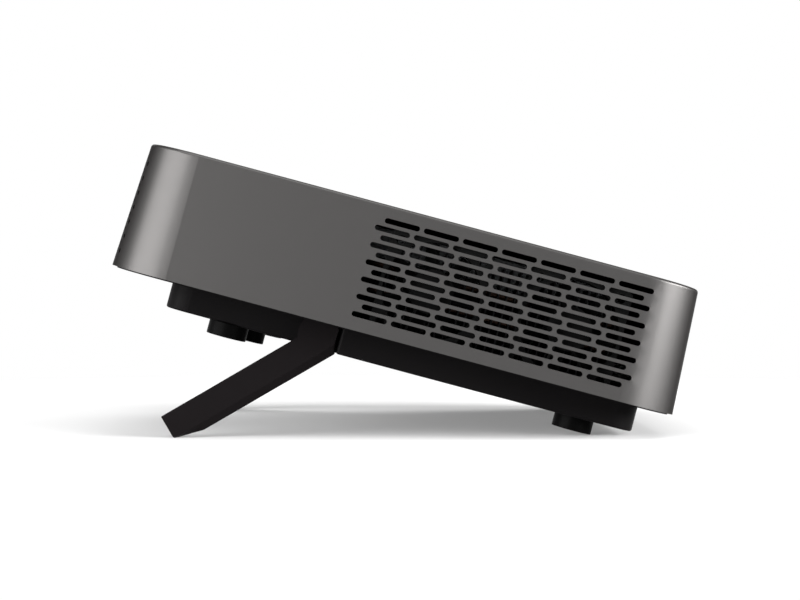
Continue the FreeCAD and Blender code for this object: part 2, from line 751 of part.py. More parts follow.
def top_cover():
    radius = CORNER_RADIUS - BAND_HEIGHT * SLOPE - WALL - FIT_GAP
    cover = plate(rounded_rectangle(COVER_HALF_X, COVER_HALF_Y, radius), COVER_BOTTOM, BAND_HEIGHT)
    holes = [raised(face, COVER_BOTTOM - 1, BAND_HEIGHT + 1) for face in key_faces(KEY_GAP).values()]
    posts = [rod(KEY_POST_RADIUS, Vec(x, y, KEY_BOARD_Z + KEY_BOARD_THICKNESS), Vec(x, y, COVER_BOTTOM))
             for x, y in key_post_places()]
    return join([cover.cut(holes)] + posts)


def key_board():
    """Small board with a dome switch under each key."""
    x0 = PAD_X - KEY_POST_REACH - 2 * KEY_POST_RADIUS
    x1 = PAD_X + KEY_POST_REACH + 2 * KEY_POST_RADIUS
    y0 = POWER_KEY_Y - POWER_KEY_RADIUS
    y1 = KEY_POST_FAR_Y + 2 * KEY_POST_RADIUS
    board = box(x0, x1, y0, y1, KEY_BOARD_Z, KEY_BOARD_Z + KEY_BOARD_THICKNESS)
    top = KEY_BOARD_Z + KEY_BOARD_THICKNESS
    domes = [rod(DOME_RADIUS, Vec(x, y, top), Vec(x, y, top + DOME_HEIGHT))
             for x, y in key_centres().values()]
    return join([board] + domes)


# ======== Bottom plate, pan and feet ========

def eye_well(grow, half_grow, z0, z1):
    """Block around the near stand arm's eye."""
    reach = EYE_RADIUS + MOVE_GAP + grow
    return box(HINGE_X - reach, HINGE_X + reach, -ARM_OUTER - MOVE_GAP - half_grow,
               -ARM_INNER + MOVE_GAP + half_grow, z0, z1)


def drive_post_places():
    """Plan places of the posts under the disc drive."""
    xs = (DRIVE_POST_FRONT_X, DRIVE_X + DRIVE_WIDTH / 2 - DRIVE_POST_INSET)
    ys = (DRIVE_REAR + DRIVE_POST_INSET, DRIVE_FRONT - DRIVE_POST_INSET + 2)
    return [(x, y) for x in xs for y in ys]


def standoff_places():
    """Plan places of the main board's standoffs."""
    inset = STANDOFF_RADIUS + 1.0
    return [(x, y) for x in (BOARD_FRONT + inset, BOARD_REAR - inset)
            for y in (BOARD_NEAR + inset, BOARD_FAR - inset)]


def pan_screw_places():
    """Plan places of the screws between pan and plate."""
    return [(x, sy * PAN_SCREW_Y) for x in (PAN_SCREW_FRONT_X, PAN_SCREW_REAR_X) for sy in (-1, 1)]


def bottom_plate():
    flange = plate(rounded_rectangle(BODY_LENGTH / 2 - PLATE_INSET, BODY_WIDTH / 2 - PLATE_INSET,
                                     CORNER_RADIUS - PLATE_INSET), -PLATE_FLANGE, 0)
    inset = WALL + PLATE_SPIGOT * SLOPE + FIT_GAP
    spigot = plate(rounded_rectangle(BODY_LENGTH / 2 - inset, BODY_WIDTH / 2 - inset,
                                     CORNER_RADIUS - inset), 0, PLATE_TOP)
    well_top = HINGE_Z + EYE_RADIUS + MOVE_GAP
    hood = eye_well(HOOD_SKIN, HOOD_SKIN, 0, well_top + HOOD_SKIN)
    hollow = eye_well(0, 0, -PLATE_FLANGE - 1, well_top)
    posts = [rod(DRIVE_POST_RADIUS, Vec(x, y, 0), Vec(x, y, DRIVE_FLOOR)) for x, y in drive_post_places()]
    posts += [rod(STANDOFF_RADIUS, Vec(x, y, 0), Vec(x, y, BOARD_Z)) for x, y in standoff_places()]
    posts += [rod(PAN_BOSS_RADIUS, Vec(x, y, 0), Vec(x, y, PLATE_TOP + PLATE_BOSS_HEIGHT))
              for x, y in pan_screw_places()]
    body = join([flange, spigot, hood, far_side(hood)] + posts)
    cutters = [hollow, far_side(hollow)]
    for x, y in corner_places():
        cutters.append(rod(SCREW_HEAD_RADIUS, Vec(x, y, -PLATE_FLANGE - 1),
                           Vec(x, y, -PLATE_FLANGE + SCREW_HEAD_HEIGHT)))
        cutters.append(rod(SCREW_RADIUS, Vec(x, y, -PLATE_FLANGE), Vec(x, y, PLATE_TOP + 1)))
    for x, y in pan_screw_places():
        cutters.append(rod(SCREW_RADIUS, Vec(x, y, -PLATE_FLANGE - 1),
                           Vec(x, y, pan_screw_top())))
    return body.cut(cutters)


def pan_screw_top():
    """Height that the pan screws reach."""
    return PAN_BOTTOM + SCREW_HEAD_HEIGHT + SCREW_LENGTH + PAN_WALL


def pan_outline():
    """Plan outline of the pan: narrow ahead of the stand's hinge, gently bowed behind it."""
    nose = PAN_NECK_HALF_WIDTH - PAN_NOSE_SETBACK
    near = [(-PAN_FRONT, -nose, PAN_CORNER_RADIUS),
            (STEP_X, -PAN_NECK_HALF_WIDTH, 0),
            (STEP_X, -PAN_HALF_WIDTH, PAN_STEP_RADIUS),
            (PAN_SIDE_BEND_X, -PAN_HALF_WIDTH, PAN_SIDE_RADIUS),
            (PAN_REAR, -PAN_REAR_HALF_WIDTH, PAN_CORNER_RADIUS)]
    far = [(x, -y, radius) for x, y, radius in reversed(near)]
    return outline(near + far, flat)


def pan_block():
    """The pan's outer form."""
    block = plate(pan_outline(), PAN_BOTTOM, PAN_TOP)
    edges = [edge for edge in block.Edges if edge.BoundBox.ZMax < PAN_BOTTOM + TINY]
    return block.makeFillet(PAN_EDGE_RADIUS, edges)


def base_pan():
    block = pan_block()
    inner = Part.Face(pan_outline()).makeOffset2D(-PAN_WALL)
    inner.translate(Vec(0, 0, PAN_INSIDE))
    shell = block.cut(inner.extrude(Vec(0, 0, PAN_TOP - PAN_INSIDE + 1)))
    blocks = [box(HINGE_X - BEARING_HALF, HINGE_X + BEARING_HALF, -PAN_NECK_HALF_WIDTH + PAN_WALL / 2,
                  -PAN_NECK_HALF_WIDTH + BUSH_LENGTH + 1, PAN_BOTTOM + PAN_WALL / 2, PAN_TOP)]
    blocks.append(far_side(blocks[0]))
    blocks += [rod(PAN_BOSS_RADIUS, Vec(x, y, PAN_BOTTOM + PAN_WALL / 2), Vec(x, y, PAN_TOP))
               for x, y in pan_screw_places()]
    blocks.append(rod(TRIPOD_BOSS_RADIUS, Vec(TRIPOD_X, 0, PAN_BOTTOM + PAN_WALL / 2),
                      Vec(TRIPOD_X, 0, PAN_TOP)))
    shell = join([shell] + blocks)
    cutters = [rod(BUSH_RADIUS, HINGE - ALONG_Y * PAN_HALF_WIDTH, HINGE + ALONG_Y * PAN_HALF_WIDTH)]
    for x, y in pan_screw_places():
        cutters.append(rod(SCREW_HEAD_RADIUS, Vec(x, y, PAN_BOTTOM - 1),
                           Vec(x, y, PAN_BOTTOM + PAN_WALL + SCREW_HEAD_HEIGHT)))
        cutters.append(rod(SCREW_RADIUS, Vec(x, y, PAN_BOTTOM), Vec(x, y, PAN_TOP + 1)))
    cutters.append(rod(TRIPOD_INSERT_RADIUS, Vec(TRIPOD_X, 0, PAN_BOTTOM - 1),
                       Vec(TRIPOD_X, 0, PAN_BOTTOM + TRIPOD_INSERT_HEIGHT)))
    return shell.cut(cutters)


def case_screws():
    """Four screws up into the band's posts and four that hold the pan."""
    screws = []
    for x, y in corner_places():
        head_top = -PLATE_FLANGE + SCREW_HEAD_HEIGHT
        head = rod(SCREW_HEAD_RADIUS, Vec(x, y, -PLATE_FLANGE), Vec(x, y, head_top))
        shank = rod(SCREW_RADIUS, Vec(x, y, head_top), Vec(x, y, PLATE_TOP + SCREW_LENGTH - 1))
        screws.append(join([head, shank]))
    for x, y in pan_screw_places():
        head_bottom = PAN_BOTTOM + PAN_WALL
        head = rod(SCREW_HEAD_RADIUS, Vec(x, y, head_bottom), Vec(x, y, head_bottom + SCREW_HEAD_HEIGHT))
        shank = rod(SCREW_RADIUS, Vec(x, y, head_bottom), Vec(x, y, pan_screw_top() - 1))
        screws.append(join([head, shank]))
    return group(screws)


def tripod_insert():
    bottom = Vec(TRIPOD_X, 0, PAN_BOTTOM)
    insert = rod(TRIPOD_INSERT_RADIUS, bottom, bottom + UP * TRIPOD_INSERT_HEIGHT)
    return insert.cut(rod(TRIPOD_RADIUS, bottom - UP, bottom + UP * TRIPOD_DEPTH))


def battery_pack():
    """Flat cells in the pan, as one wrapped block with rounded edges."""
    block = box(BATTERY_LEFT, BATTERY_RIGHT,
                -BATTERY_WIDTH / 2, BATTERY_WIDTH / 2, PAN_INSIDE, PAN_INSIDE + BATTERY_HEIGHT)
    return block.makeFillet(BATTERY_EDGE_RADIUS, block.Edges)


def foot(x, y):
    """Round rubber foot under the pan."""
    body = rod(FOOT_RADIUS, Vec(x, y, FOOT_BOTTOM), Vec(x, y, PAN_BOTTOM))
    edges = [edge for edge in body.Edges if edge.BoundBox.ZMax < FOOT_BOTTOM + TINY]
    return body.makeFillet(FOOT_EDGE_RADIUS, edges)


def bumper_feet():
    return both_sides(foot(BUMPER_X, -BUMPER_Y))


# ======== Fold-out stand ========

def stand_point(along, across):
    """Point of the folded stand arm, measured from the hinge."""
    return Vec(HINGE_X - along, 0, HINGE_Z - across)


def arm_outline(lower_inset):
    """Side outline of the folded arm; the lower edge is moved in by the bevel."""
    lower = ARM_BOTTOM - lower_inset
    neck = math.sqrt(EYE_RADIUS ** 2 - ARM_TOP ** 2)
    heel_lower = HEEL_BOTTOM - (HEEL_BOTTOM - TOE_BOTTOM if lower_inset > 0 else 0)
    back_along = -ARM_BACK - ARM_BACK_LEAN * lower_inset
    tail_along = -math.sqrt(EYE_RADIUS ** 2 - ARM_TAIL ** 2)
    corners = [(TOE_REACH, -TOE_TOP, TOE_RADIUS / 2), (TOE_REACH, TOE_BOTTOM, TOE_RADIUS),
               (HEEL_REACH, heel_lower, 0), (back_along, lower, 0)]
    points = [stand_point(neck, -ARM_TOP)]
    turns = []
    for i, (along, across, radius) in enumerate(corners):
        point = stand_point(along, across)
        if radius > 0:
            before = points[0] if i == 0 else stand_point(*corners[i - 1][:2])
            turns.append(corner_arc(before, point, stand_point(*corners[i + 1][:2]), radius))
        else:
            turns.append((point, None, point))
    edges = []
    last = points[0]
    for start, middle, end in turns:
        edges.append(Part.LineSegment(last, start).toShape())
        if middle is not None:
            edges.append(Part.Arc(start, middle, end).toShape())
        last = end
    tail = stand_point(tail_along, ARM_TAIL)
    edges.append(Part.LineSegment(last, tail).toShape())
    top = stand_point(0, -EYE_RADIUS)
    edges.append(Part.Arc(tail, top, points[0]).toShape())
    return Part.Wire(edges)


def arm_slab(y0, y1):
    """Full arm outline between two places along Y."""
    wire = arm_outline(0)
    wire.translate(Vec(0, y0, 0))
    return Part.Face(wire).extrude(Vec(0, y1 - y0, 0))


def open_angle():
    """How far the arm folds down for its toe to meet the floor under the rear feet."""
    tilt = math.radians(TILT)
    toe_along = TOE_REACH - TOE_RADIUS
    toe_across = TOE_BOTTOM - TOE_RADIUS
    reach = math.hypot(toe_along, toe_across)
    hinge_height = -HINGE_X * math.sin(tilt) + HINGE_Z * math.cos(tilt) - floor_height()
    below = math.asin((hinge_height - TOE_RADIUS) / reach)
    return math.degrees(below - math.atan2(toe_across, toe_along)) + TILT


def floor_height():
    """Height of the floor after the tilt, before the part is lifted onto it."""
    tilt = math.radians(TILT)
    x = FOOT_REAR_X + FOOT_RADIUS - FOOT_EDGE_RADIUS
    z = FOOT_BOTTOM + FOOT_EDGE_RADIUS
    return -x * math.sin(tilt) + z * math.cos(tilt) - FOOT_EDGE_RADIUS


def opened(shape):
    """Swing a folded piece of the stand down to its open stop."""
    shape.rotate(HINGE, ALONG_Y, -open_angle())
    return shape


def folded_toe_pad():
    """Rubber inlay in the sole of the near toe."""
    slope = (HEEL_BOTTOM - TOE_BOTTOM) / (TOE_REACH - HEEL_REACH)
    back = TOE_REACH - TOE_PAD_LENGTH
    back_across = TOE_BOTTOM + slope * TOE_PAD_LENGTH
    corners = [(TOE_REACH + 1, TOE_BOTTOM - slope - TOE_PAD_THICKNESS, 0),
               (TOE_REACH + 1, HEEL_BOTTOM + 2, 0), (back, HEEL_BOTTOM + 2, 0),
               (back, back_across - TOE_PAD_THICKNESS, 0)]
    wire = outline(corners, lambda along, across: stand_point(along, across))
    wire.translate(Vec(0, -ARM_OUTER + ARM_BEVEL + TOE_PAD_INSET, 0))
    block = Part.Face(wire).extrude(Vec(0, ARM_WIDTH - ARM_BEVEL - 2 * TOE_PAD_INSET, 0))
    return block.common(arm_slab(-ARM_OUTER, -ARM_INNER))


def stand_shaft_rod():
    end = ARM_OUTER - SHAFT_END
    return rod(SHAFT_RADIUS, Vec(HINGE_X, -end, HINGE_Z), Vec(HINGE_X, end, HINGE_Z))


def stand_leg_near():
    inner = arm_slab(-ARM_OUTER + ARM_BEVEL, -ARM_INNER)
    full = arm_outline(0)
    full.translate(Vec(0, -ARM_OUTER + ARM_BEVEL, 0))
    bevelled = arm_outline(ARM_BEVEL_WIDTH)
    bevelled.translate(Vec(0, -ARM_OUTER, 0))
    outer = Part.makeLoft([full, bevelled], True, True)
    arm = join([inner, outer]).cut([folded_toe_pad(), stand_shaft_rod()])
    return opened(arm)


def stand_leg_far():
    return far_side(stand_leg_near())


def stand_shaft():
    return stand_shaft_rod()


def toe_pads():
    return both_sides(opened(folded_toe_pad()))


def shaft_bushes():
    y = -PAN_NECK_HALF_WIDTH + FIT_GAP
    bush = ring(BUSH_RADIUS, SHAFT_RADIUS + SHAFT_GAP, Vec(HINGE_X, y, HINGE_Z),
                Vec(HINGE_X, y + BUSH_LENGTH, HINGE_Z))
    return both_sides(bush)


def friction_clips():
    """Split clamps on the pan's floor that grip the shaft and hold the stand at any angle."""
    y = -PAN_NECK_HALF_WIDTH + 2 * BUSH_LENGTH
    clip = box(HINGE_X - CLIP_HALF, HINGE_X + CLIP_HALF, y, y + CLIP_LENGTH, PAN_INSIDE, PAN_TOP - FIT_GAP)
    bore = rod(SHAFT_RADIUS + SHAFT_GAP, HINGE + ALONG_Y * (y - 1), HINGE + ALONG_Y * (y + CLIP_LENGTH + 1))
    slit = box(HINGE_X, HINGE_X + CLIP_HALF + 1, y - 1, y + CLIP_LENGTH + 1,
               HINGE_Z - CLIP_SLIT / 2, HINGE_Z + CLIP_SLIT / 2)
    return both_sides(clip.cut([bore, slit]))


# ======== Disc drive ========

def drive_chassis():
    x0 = DRIVE_X - DRIVE_WIDTH / 2
    x1 = DRIVE_X + DRIVE_WIDTH / 2
    top = DRIVE_FLOOR + DRIVE_HEIGHT
    case = box(x0, x1, DRIVE_REAR, DRIVE_FRONT, DRIVE_FLOOR, top)
    inside = box(x0 + DRIVE_SHEET, x1 - DRIVE_SHEET, DRIVE_REAR + DRIVE_SHEET, DRIVE_FRONT + 1,
                 DRIVE_FLOOR + DRIVE_SHEET, top - DRIVE_SHEET)
    return case.cut(inside)


def tray_rails():
    """Sliding strips between the drive's sides and the tray."""
    rails = []
    for side in (-1, 1):
        x = DRIVE_X + side * (RAIL_OUTER - RAIL_THICKNESS / 2)
        rails.append(box(x - RAIL_THICKNESS / 2, x + RAIL_THICKNESS / 2,
                         DRIVE_FRONT - RAIL_LENGTH, DRIVE_FRONT,
                         RAIL_MIDDLE - RAIL_HEIGHT / 2, RAIL_MIDDLE + RAIL_HEIGHT / 2))
    return group(rails)


def mech_ends():
    """Y of the rear and front walls of the hollow under the tray's floor."""
    return TRAY_REAR + TRAY_REAR_WALL, DISC_Y + MOTOR_RADIUS + MECH_FRONT_GAP


def mech_bay():
    """Hollow under the tray's floor for the spindle motor and the laser sled."""
    y0, y1 = mech_ends()
    half = MECH_WIDTH / 2
    return box(DRIVE_X - half, DRIVE_X + half, y0, y1, TRAY_FLOOR - 1, SKIN_BOTTOM)


def disc_tray():
    body = box(DRIVE_X - TRAY_HALF_WIDTH, DRIVE_X + TRAY_HALF_WIDTH, TRAY_REAR, TRAY_FRONT,
               TRAY_FLOOR, TRAY_TOP)
    upright_edges = [edge for edge in body.Edges
                     if edge.BoundBox.ZLength > TRAY_HEIGHT / 2 and edge.BoundBox.YMax < TRAY_REAR + 1]
    body = body.makeFillet(TRAY_CORNER_RADIUS, upright_edges)
    well = rod(DISC_RADIUS + DISC_GAP, Vec(DRIVE_X, DISC_Y, WELL_FLOOR), Vec(DRIVE_X, DISC_Y, TRAY_TOP + 1))
    hole = rod(SPINDLE_RADIUS * 2, Vec(DRIVE_X, DISC_Y, SKIN_BOTTOM - 1),
               Vec(DRIVE_X, DISC_Y, WELL_FLOOR + 1))
    half = PICKUP_RADIUS + PICKUP_GAP
    window_start = DISC_Y - SLED_RADIUS_IN + half
    window = box(DRIVE_X - half, DRIVE_X + half, window_start - SLED_TRAVEL - 2 * half, window_start,
                 SKIN_BOTTOM - 1, TRAY_TOP + 1)
    pocket = box(EJECT_X - EJECT_WIDTH / 2 - MOVE_GAP, EJECT_X + EJECT_WIDTH / 2 + MOVE_GAP,
                 TRAY_FRONT - EJECT_DEPTH - EJECT_TRAVEL, TRAY_FRONT + 1,
                 RAIL_MIDDLE - EJECT_HEIGHT / 2 - MOVE_GAP, RAIL_MIDDLE + EJECT_HEIGHT / 2 + MOVE_GAP)
    return body.cut([well, hole, window, mech_bay(), pocket])


def tray_bezel():
    """Front of the tray, flush with the band and leaning with it."""
    half = DRIVE_WIDTH / 2 - MOVE_GAP
    block = box(DRIVE_X - half, DRIVE_X + half, TRAY_FRONT, BODY_WIDTH / 2 + 1, BEZEL_BOTTOM, BEZEL_TOP)
    hole = box(EJECT_X - EJECT_WIDTH / 2 - MOVE_GAP, EJECT_X + EJECT_WIDTH / 2 + MOVE_GAP,
               TRAY_FRONT - 1, BODY_WIDTH / 2 + 2,
               RAIL_MIDDLE - EJECT_HEIGHT / 2 - MOVE_GAP, RAIL_MIDDLE + EJECT_HEIGHT / 2 + MOVE_GAP)
    return block.common(drafted_block(0, BAND_HEIGHT, 0)).cut(hole)


def eject_button():
    face = outer_half(BODY_WIDTH, RAIL_MIDDLE) + EJECT_PROUD
    block = box(EJECT_X - EJECT_WIDTH / 2, EJECT_X + EJECT_WIDTH / 2,
                TRAY_FRONT - EJECT_DEPTH + FIT_GAP, face,
                RAIL_MIDDLE - EJECT_HEIGHT / 2, RAIL_MIDDLE + EJECT_HEIGHT / 2)
    edges = [edge for edge in block.Edges if edge.BoundBox.YMin > face - TINY]
    return block.makeFillet(EJECT_EDGE_RADIUS, edges)


def spindle_motor():
    top = SKIN_BOTTOM
    return ring(MOTOR_RADIUS, SPINDLE_RADIUS + SHAFT_GAP, Vec(DRIVE_X, DISC_Y, top - MOTOR_HEIGHT),
                Vec(DRIVE_X, DISC_Y, top))


def spindle_hub():
    """Platter and boss that carry the disc, with their shaft."""
    low = WELL_FLOOR + MOVE_GAP
    platter = rod(PLATTER_RADIUS, Vec(DRIVE_X, DISC_Y, low), Vec(DRIVE_X, DISC_Y, low + PLATTER_HEIGHT))
    boss_top = low + PLATTER_HEIGHT + HUB_HEIGHT
    boss = rod(HUB_RADIUS, Vec(DRIVE_X, DISC_Y, low), Vec(DRIVE_X, DISC_Y, boss_top))
    edges = [edge for edge in boss.Edges if edge.BoundBox.ZMin > boss_top - TINY]
    boss = boss.makeFillet(HUB_EDGE_RADIUS, edges)
    shaft_bottom = SKIN_BOTTOM - MOTOR_HEIGHT + FIT_GAP
    shaft = rod(SPINDLE_RADIUS, Vec(DRIVE_X, DISC_Y, shaft_bottom), Vec(DRIVE_X, DISC_Y, low))
    return join([platter, boss, shaft])


def rod_places():
    """X of the two guide rods."""
    return (DRIVE_X - ROD_SPAN / 2, DRIVE_X + ROD_SPAN / 2)


def guide_rods():
    y0, y1 = mech_ends()
    return group([rod(ROD_RADIUS, Vec(x, y0, ROD_Z), Vec(x, y1, ROD_Z)) for x in rod_places()])


def laser_sled():
    """Carriage on the guide rods with the pick-up lens on top."""
    y = DISC_Y - SLED_RADIUS_IN
    low = ROD_Z - SLED_HEIGHT / 2
    high = ROD_Z + SLED_HEIGHT / 2
    body = box(DRIVE_X - SLED_WIDTH / 2, DRIVE_X + SLED_WIDTH / 2, y - SLED_LENGTH / 2, y + SLED_LENGTH / 2,
               low, high)
    lens = rod(PICKUP_RADIUS, Vec(DRIVE_X, y, high), Vec(DRIVE_X, y, WELL_FLOOR - MOVE_GAP))
    nut = box(DRIVE_X + SLED_WIDTH / 2, DRIVE_X + LEADSCREW_OFFSET - LEADSCREW_RADIUS - FIT_GAP,
              y - SLED_LENGTH / 4, y + SLED_LENGTH / 4, low, high)
    bores = [rod(ROD_RADIUS + SHAFT_GAP, Vec(x, y - SLED_LENGTH, ROD_Z), Vec(x, y + SLED_LENGTH, ROD_Z))
             for x in rod_places()]
    return join([body, lens, nut]).cut(bores)


def sled_motor_place():
    """Y of the screw motor's rear and front faces."""
    front = mech_ends()[1]
    return front - SLED_MOTOR_LENGTH, front


def sled_motor():
    y0, y1 = sled_motor_place()
    x = DRIVE_X + LEADSCREW_OFFSET
    half = SLED_MOTOR_WIDTH / 2
    block = box(x - half, x + half, y0, y1, ROD_Z - half, SKIN_BOTTOM)
    return block.cut(rod(JOURNAL_RADIUS + SHAFT_GAP, Vec(x, y0 - 1, ROD_Z), Vec(x, y1 - MOTOR_END, ROD_Z)))


def lead_screw():
    y0, y1 = sled_motor_place()
    x = DRIVE_X + LEADSCREW_OFFSET
    screw = rod(LEADSCREW_RADIUS, Vec(x, mech_ends()[0] + MOVE_GAP, ROD_Z), Vec(x, y0 - MOVE_GAP, ROD_Z))
    journal = rod(JOURNAL_RADIUS, Vec(x, y0 - MOVE_GAP, ROD_Z), Vec(x, y1 - MOTOR_END - FIT_GAP, ROD_Z))
    return join([screw, journal])


# ======== Main board and connectors ========

def main_board():
    """Circuit board with its larger chips and parts as blocks standing on it."""
    board = box(BOARD_FRONT, BOARD_REAR, BOARD_NEAR, BOARD_FAR, BOARD_Z, BOARD_TOP)
    blocks = [box(BOARD_FRONT + x, BOARD_FRONT + x + length, BOARD_NEAR + y, BOARD_NEAR + y + width,
                  BOARD_TOP, BOARD_TOP + height)
              for x, y, length, width, height in CHIPS]
    holes = [rod(DRIVE_POST_RADIUS + BOARD_HOLE_GAP, Vec(x, y, BOARD_Z), Vec(x, y, DRIVE_FLOOR))
             for x, y in drive_post_places()]
    return join([board] + blocks).cut(holes)


def port_front():
    """X of the connectors' mouths, just inside the leaning rear wall."""
    return outer_half(BODY_LENGTH, BOARD_TOP + INLET_BODY) - PORT_SETBACK


def shell_port(y, width, height):
    """Rectangular socket with a contact tongue."""
    x1 = port_front()
    x0 = x1 - PORT_DEPTH
    z0 = BOARD_TOP
    z1 = BOARD_TOP + height
    block = box(x0, x1, y - width / 2, y + width / 2, z0, z1)
    mouth = box(x0 + 2, x1 + 1, y - width / 2 + PORT_SKIN, y + width / 2 - PORT_SKIN,
                z0 + PORT_SKIN, z1 - PORT_SKIN)
    tongue_half = width / 2 - TONGUE_MARGIN
    tongue_bottom = (z0 + z1 - TONGUE_THICKNESS) / 2
    tongue = box(x0 + 1, x1 - TONGUE_SETBACK, y - tongue_half, y + tongue_half,
                 tongue_bottom, tongue_bottom + TONGUE_THICKNESS)
    return join([block.cut(mouth), tongue])


def hdmi_port():
    return shell_port(HDMI_Y, HDMI_WIDTH, HDMI_HEIGHT)


def usb_port():
    return shell_port(USB_Y, USB_WIDTH, USB_HEIGHT)


def round_port(y, body, nose_radius, bore_radius):
    """Square jack body with a round nose through the wall."""
    x1 = port_front()
    wall = inner_half(BODY_LENGTH, BOARD_TOP + INLET_BODY) - FIT_GAP
    x0 = x1 - PORT_DEPTH
    z = BOARD_TOP + body / 2
    block = box(x0, wall, y - body / 2, y + body / 2, BOARD_TOP, BOARD_TOP + body)
    nose = rod(nose_radius, Vec(wall - 1, y, z), Vec(x1, y, z))
    return join([block, nose]).cut(rod(bore_radius, Vec(x0 + 2, y, z), Vec(x1 + 1, y, z)))


def audio_jacks():
    return group([round_port(y, JACK_BODY, JACK_NOSE_RADIUS, JACK_BORE_RADIUS) for y in JACK_Y])


def power_inlet():
    z = BOARD_TOP + INLET_BODY / 2
    x1 = port_front()
    pin = rod(INLET_PIN_RADIUS, Vec(x1 - PORT_DEPTH + 1, INLET_Y, z), Vec(x1 - TONGUE_SETBACK, INLET_Y, z))
    return join([round_port(INLET_Y, INLET_BODY, INLET_NOSE_RADIUS, INLET_BORE_RADIUS), pin])


# ======== Cooling ========

def fan_x(index):
    """X of a fan's axis."""
    return FIN_LEFT + FIN_WIDTH / 2 + (index - 0.5) * FAN_PITCH


def fan_frame(index):
    """Square frame with a round duct, and struts that hold the motor on its inner side."""
    x = fan_x(index)
    half = FAN_SIZE / 2
    frame = box(x - half, x + half, FAN_OUTER, FAN_INNER, PLATE_TOP, PLATE_TOP + FAN_SIZE)
    upright_edges = [edge for edge in frame.Edges if edge.BoundBox.YLength > FAN_DEPTH / 2]
    frame = frame.makeFillet(FAN_CORNER_RADIUS, upright_edges)
    duct = rod(FAN_DUCT_RADIUS, Vec(x, FAN_OUTER - 1, FAN_Z), Vec(x, FAN_INNER + 1, FAN_Z))
    hole_reach = FAN_HOLE_SPAN / 2
    holes = [rod(FAN_HOLE_RADIUS, Vec(x + sx * hole_reach, FAN_OUTER - 1, FAN_Z + sz * hole_reach),
                 Vec(x + sx * hole_reach, FAN_INNER + 1, FAN_Z + sz * hole_reach))
             for sx in (-1, 1) for sz in (-1, 1)]
    frame = frame.cut([duct] + holes)
    y0 = FAN_INNER - FAN_STRUT_DEPTH
    hub = rod(FAN_HUB_RADIUS, Vec(x, y0, FAN_Z), Vec(x, FAN_INNER, FAN_Z))
    struts = []
    strut_end = x + (FAN_DUCT_RADIUS + half) / 2
    for k in range(FAN_STRUTS):
        strut = box(x, strut_end, y0, FAN_INNER, FAN_Z - FAN_STRUT_WIDTH / 2, FAN_Z + FAN_STRUT_WIDTH / 2)
        strut.rotate(Vec(x, 0, FAN_Z), ALONG_Y, FAN_STRUT_TURN + 360.0 * k / FAN_STRUTS)
        struts.append(strut)
    body = join([frame, hub] + struts)
    return body.cut(rod(FAN_SHAFT_RADIUS + SHAFT_GAP, Vec(x, y0 - 1, FAN_Z), Vec(x, FAN_INNER + 1, FAN_Z)))


def fan_rotor(index):
    """Hub cup with twisted-in blades and a shaft into the frame's bearing."""
    x = fan_x(index)
    y0 = FAN_OUTER + ROTOR_SETBACK
    y1 = FAN_INNER - FAN_STRUT_DEPTH - MOVE_GAP
    middle = (y0 + y1) / 2
    hub = rod(FAN_HUB_RADIUS, Vec(x, y0, FAN_Z), Vec(x, y1, FAN_Z))
    shaft = rod(FAN_SHAFT_RADIUS, Vec(x, y1 - 1, FAN_Z), Vec(x, FAN_INNER - MOVE_GAP, FAN_Z))
    limit = ring(FAN_DUCT_RADIUS - BLADE_TIP_GAP, FAN_HUB_RADIUS - 1, Vec(x, y0, FAN_Z), Vec(x, y1, FAN_Z))
    blades = []
    for k in range(FAN_BLADES):
        blade = box(x + FAN_HUB_RADIUS - 1, x + FAN_DUCT_RADIUS + 1, middle - BLADE_CHORD / 2,
                    middle + BLADE_CHORD / 2, FAN_Z - BLADE_THICKNESS / 2, FAN_Z + BLADE_THICKNESS / 2)
        blade.rotate(Vec(x, middle, FAN_Z), ALONG_X, BLADE_ANGLE)
        blade.rotate(Vec(x, 0, FAN_Z), ALONG_Y, 360.0 * k / FAN_BLADES)
        blades.append(blade.common(limit))
    return join([hub, shaft] + blades)


def pipe_route(z):
    """Centre line of a heat pipe, from the spreader to the fins, as lines and arcs."""
    y0 = -ENGINE_HALF_WIDTH - LED_THICKNESS - SPREADER_THICKNESS / 2
    turn_x = FIN_LEFT - PIPE_BEND_RADIUS - PIPE_STRAIGHT
    end_x = FIN_LEFT + FIN_WIDTH - FIN_THICKNESS
    corners = [Vec(ENGINE_FRONT + LED_MARGIN, y0, z), Vec(turn_x, y0, z),
               Vec(turn_x, PIPE_Y, z), Vec(end_x, PIPE_Y, z)]
    edges = []
    last = corners[0]
    for i in (1, 2):
        start, middle, end = corner_arc(corners[i - 1], corners[i], corners[i + 1], PIPE_BEND_RADIUS)
        edges.append(Part.LineSegment(last, start).toShape())
        edges.append(Part.Arc(start, middle, end).toShape())
        last = end
    edges.append(Part.LineSegment(last, corners[3]).toShape())
    return Part.Wire(edges)


def pipe_solid(z, radius):
    """Round pipe along its route."""
    route = pipe_route(z)
    start = route.Edges[0].Vertexes[0].Point
    profile = Part.Wire([Part.Circle(start, ALONG_X, radius).toShape()])
    return route.makePipeShell([profile], True, True)


def spreader_block():
    """Copper block that takes the heat of the light sources."""
    y1 = -ENGINE_HALF_WIDTH - LED_THICKNESS
    return box(ENGINE_FRONT + LED_MARGIN, ENGINE_REAR - LED_MARGIN, y1 - SPREADER_THICKNESS, y1,
               min(PIPE_HEIGHTS) - 2 * PIPE_RADIUS, max(PIPE_HEIGHTS) + 2 * PIPE_RADIUS)


def heat_pipes():
    return join([spreader_block()] + [pipe_solid(z, PIPE_RADIUS) for z in PIPE_HEIGHTS])


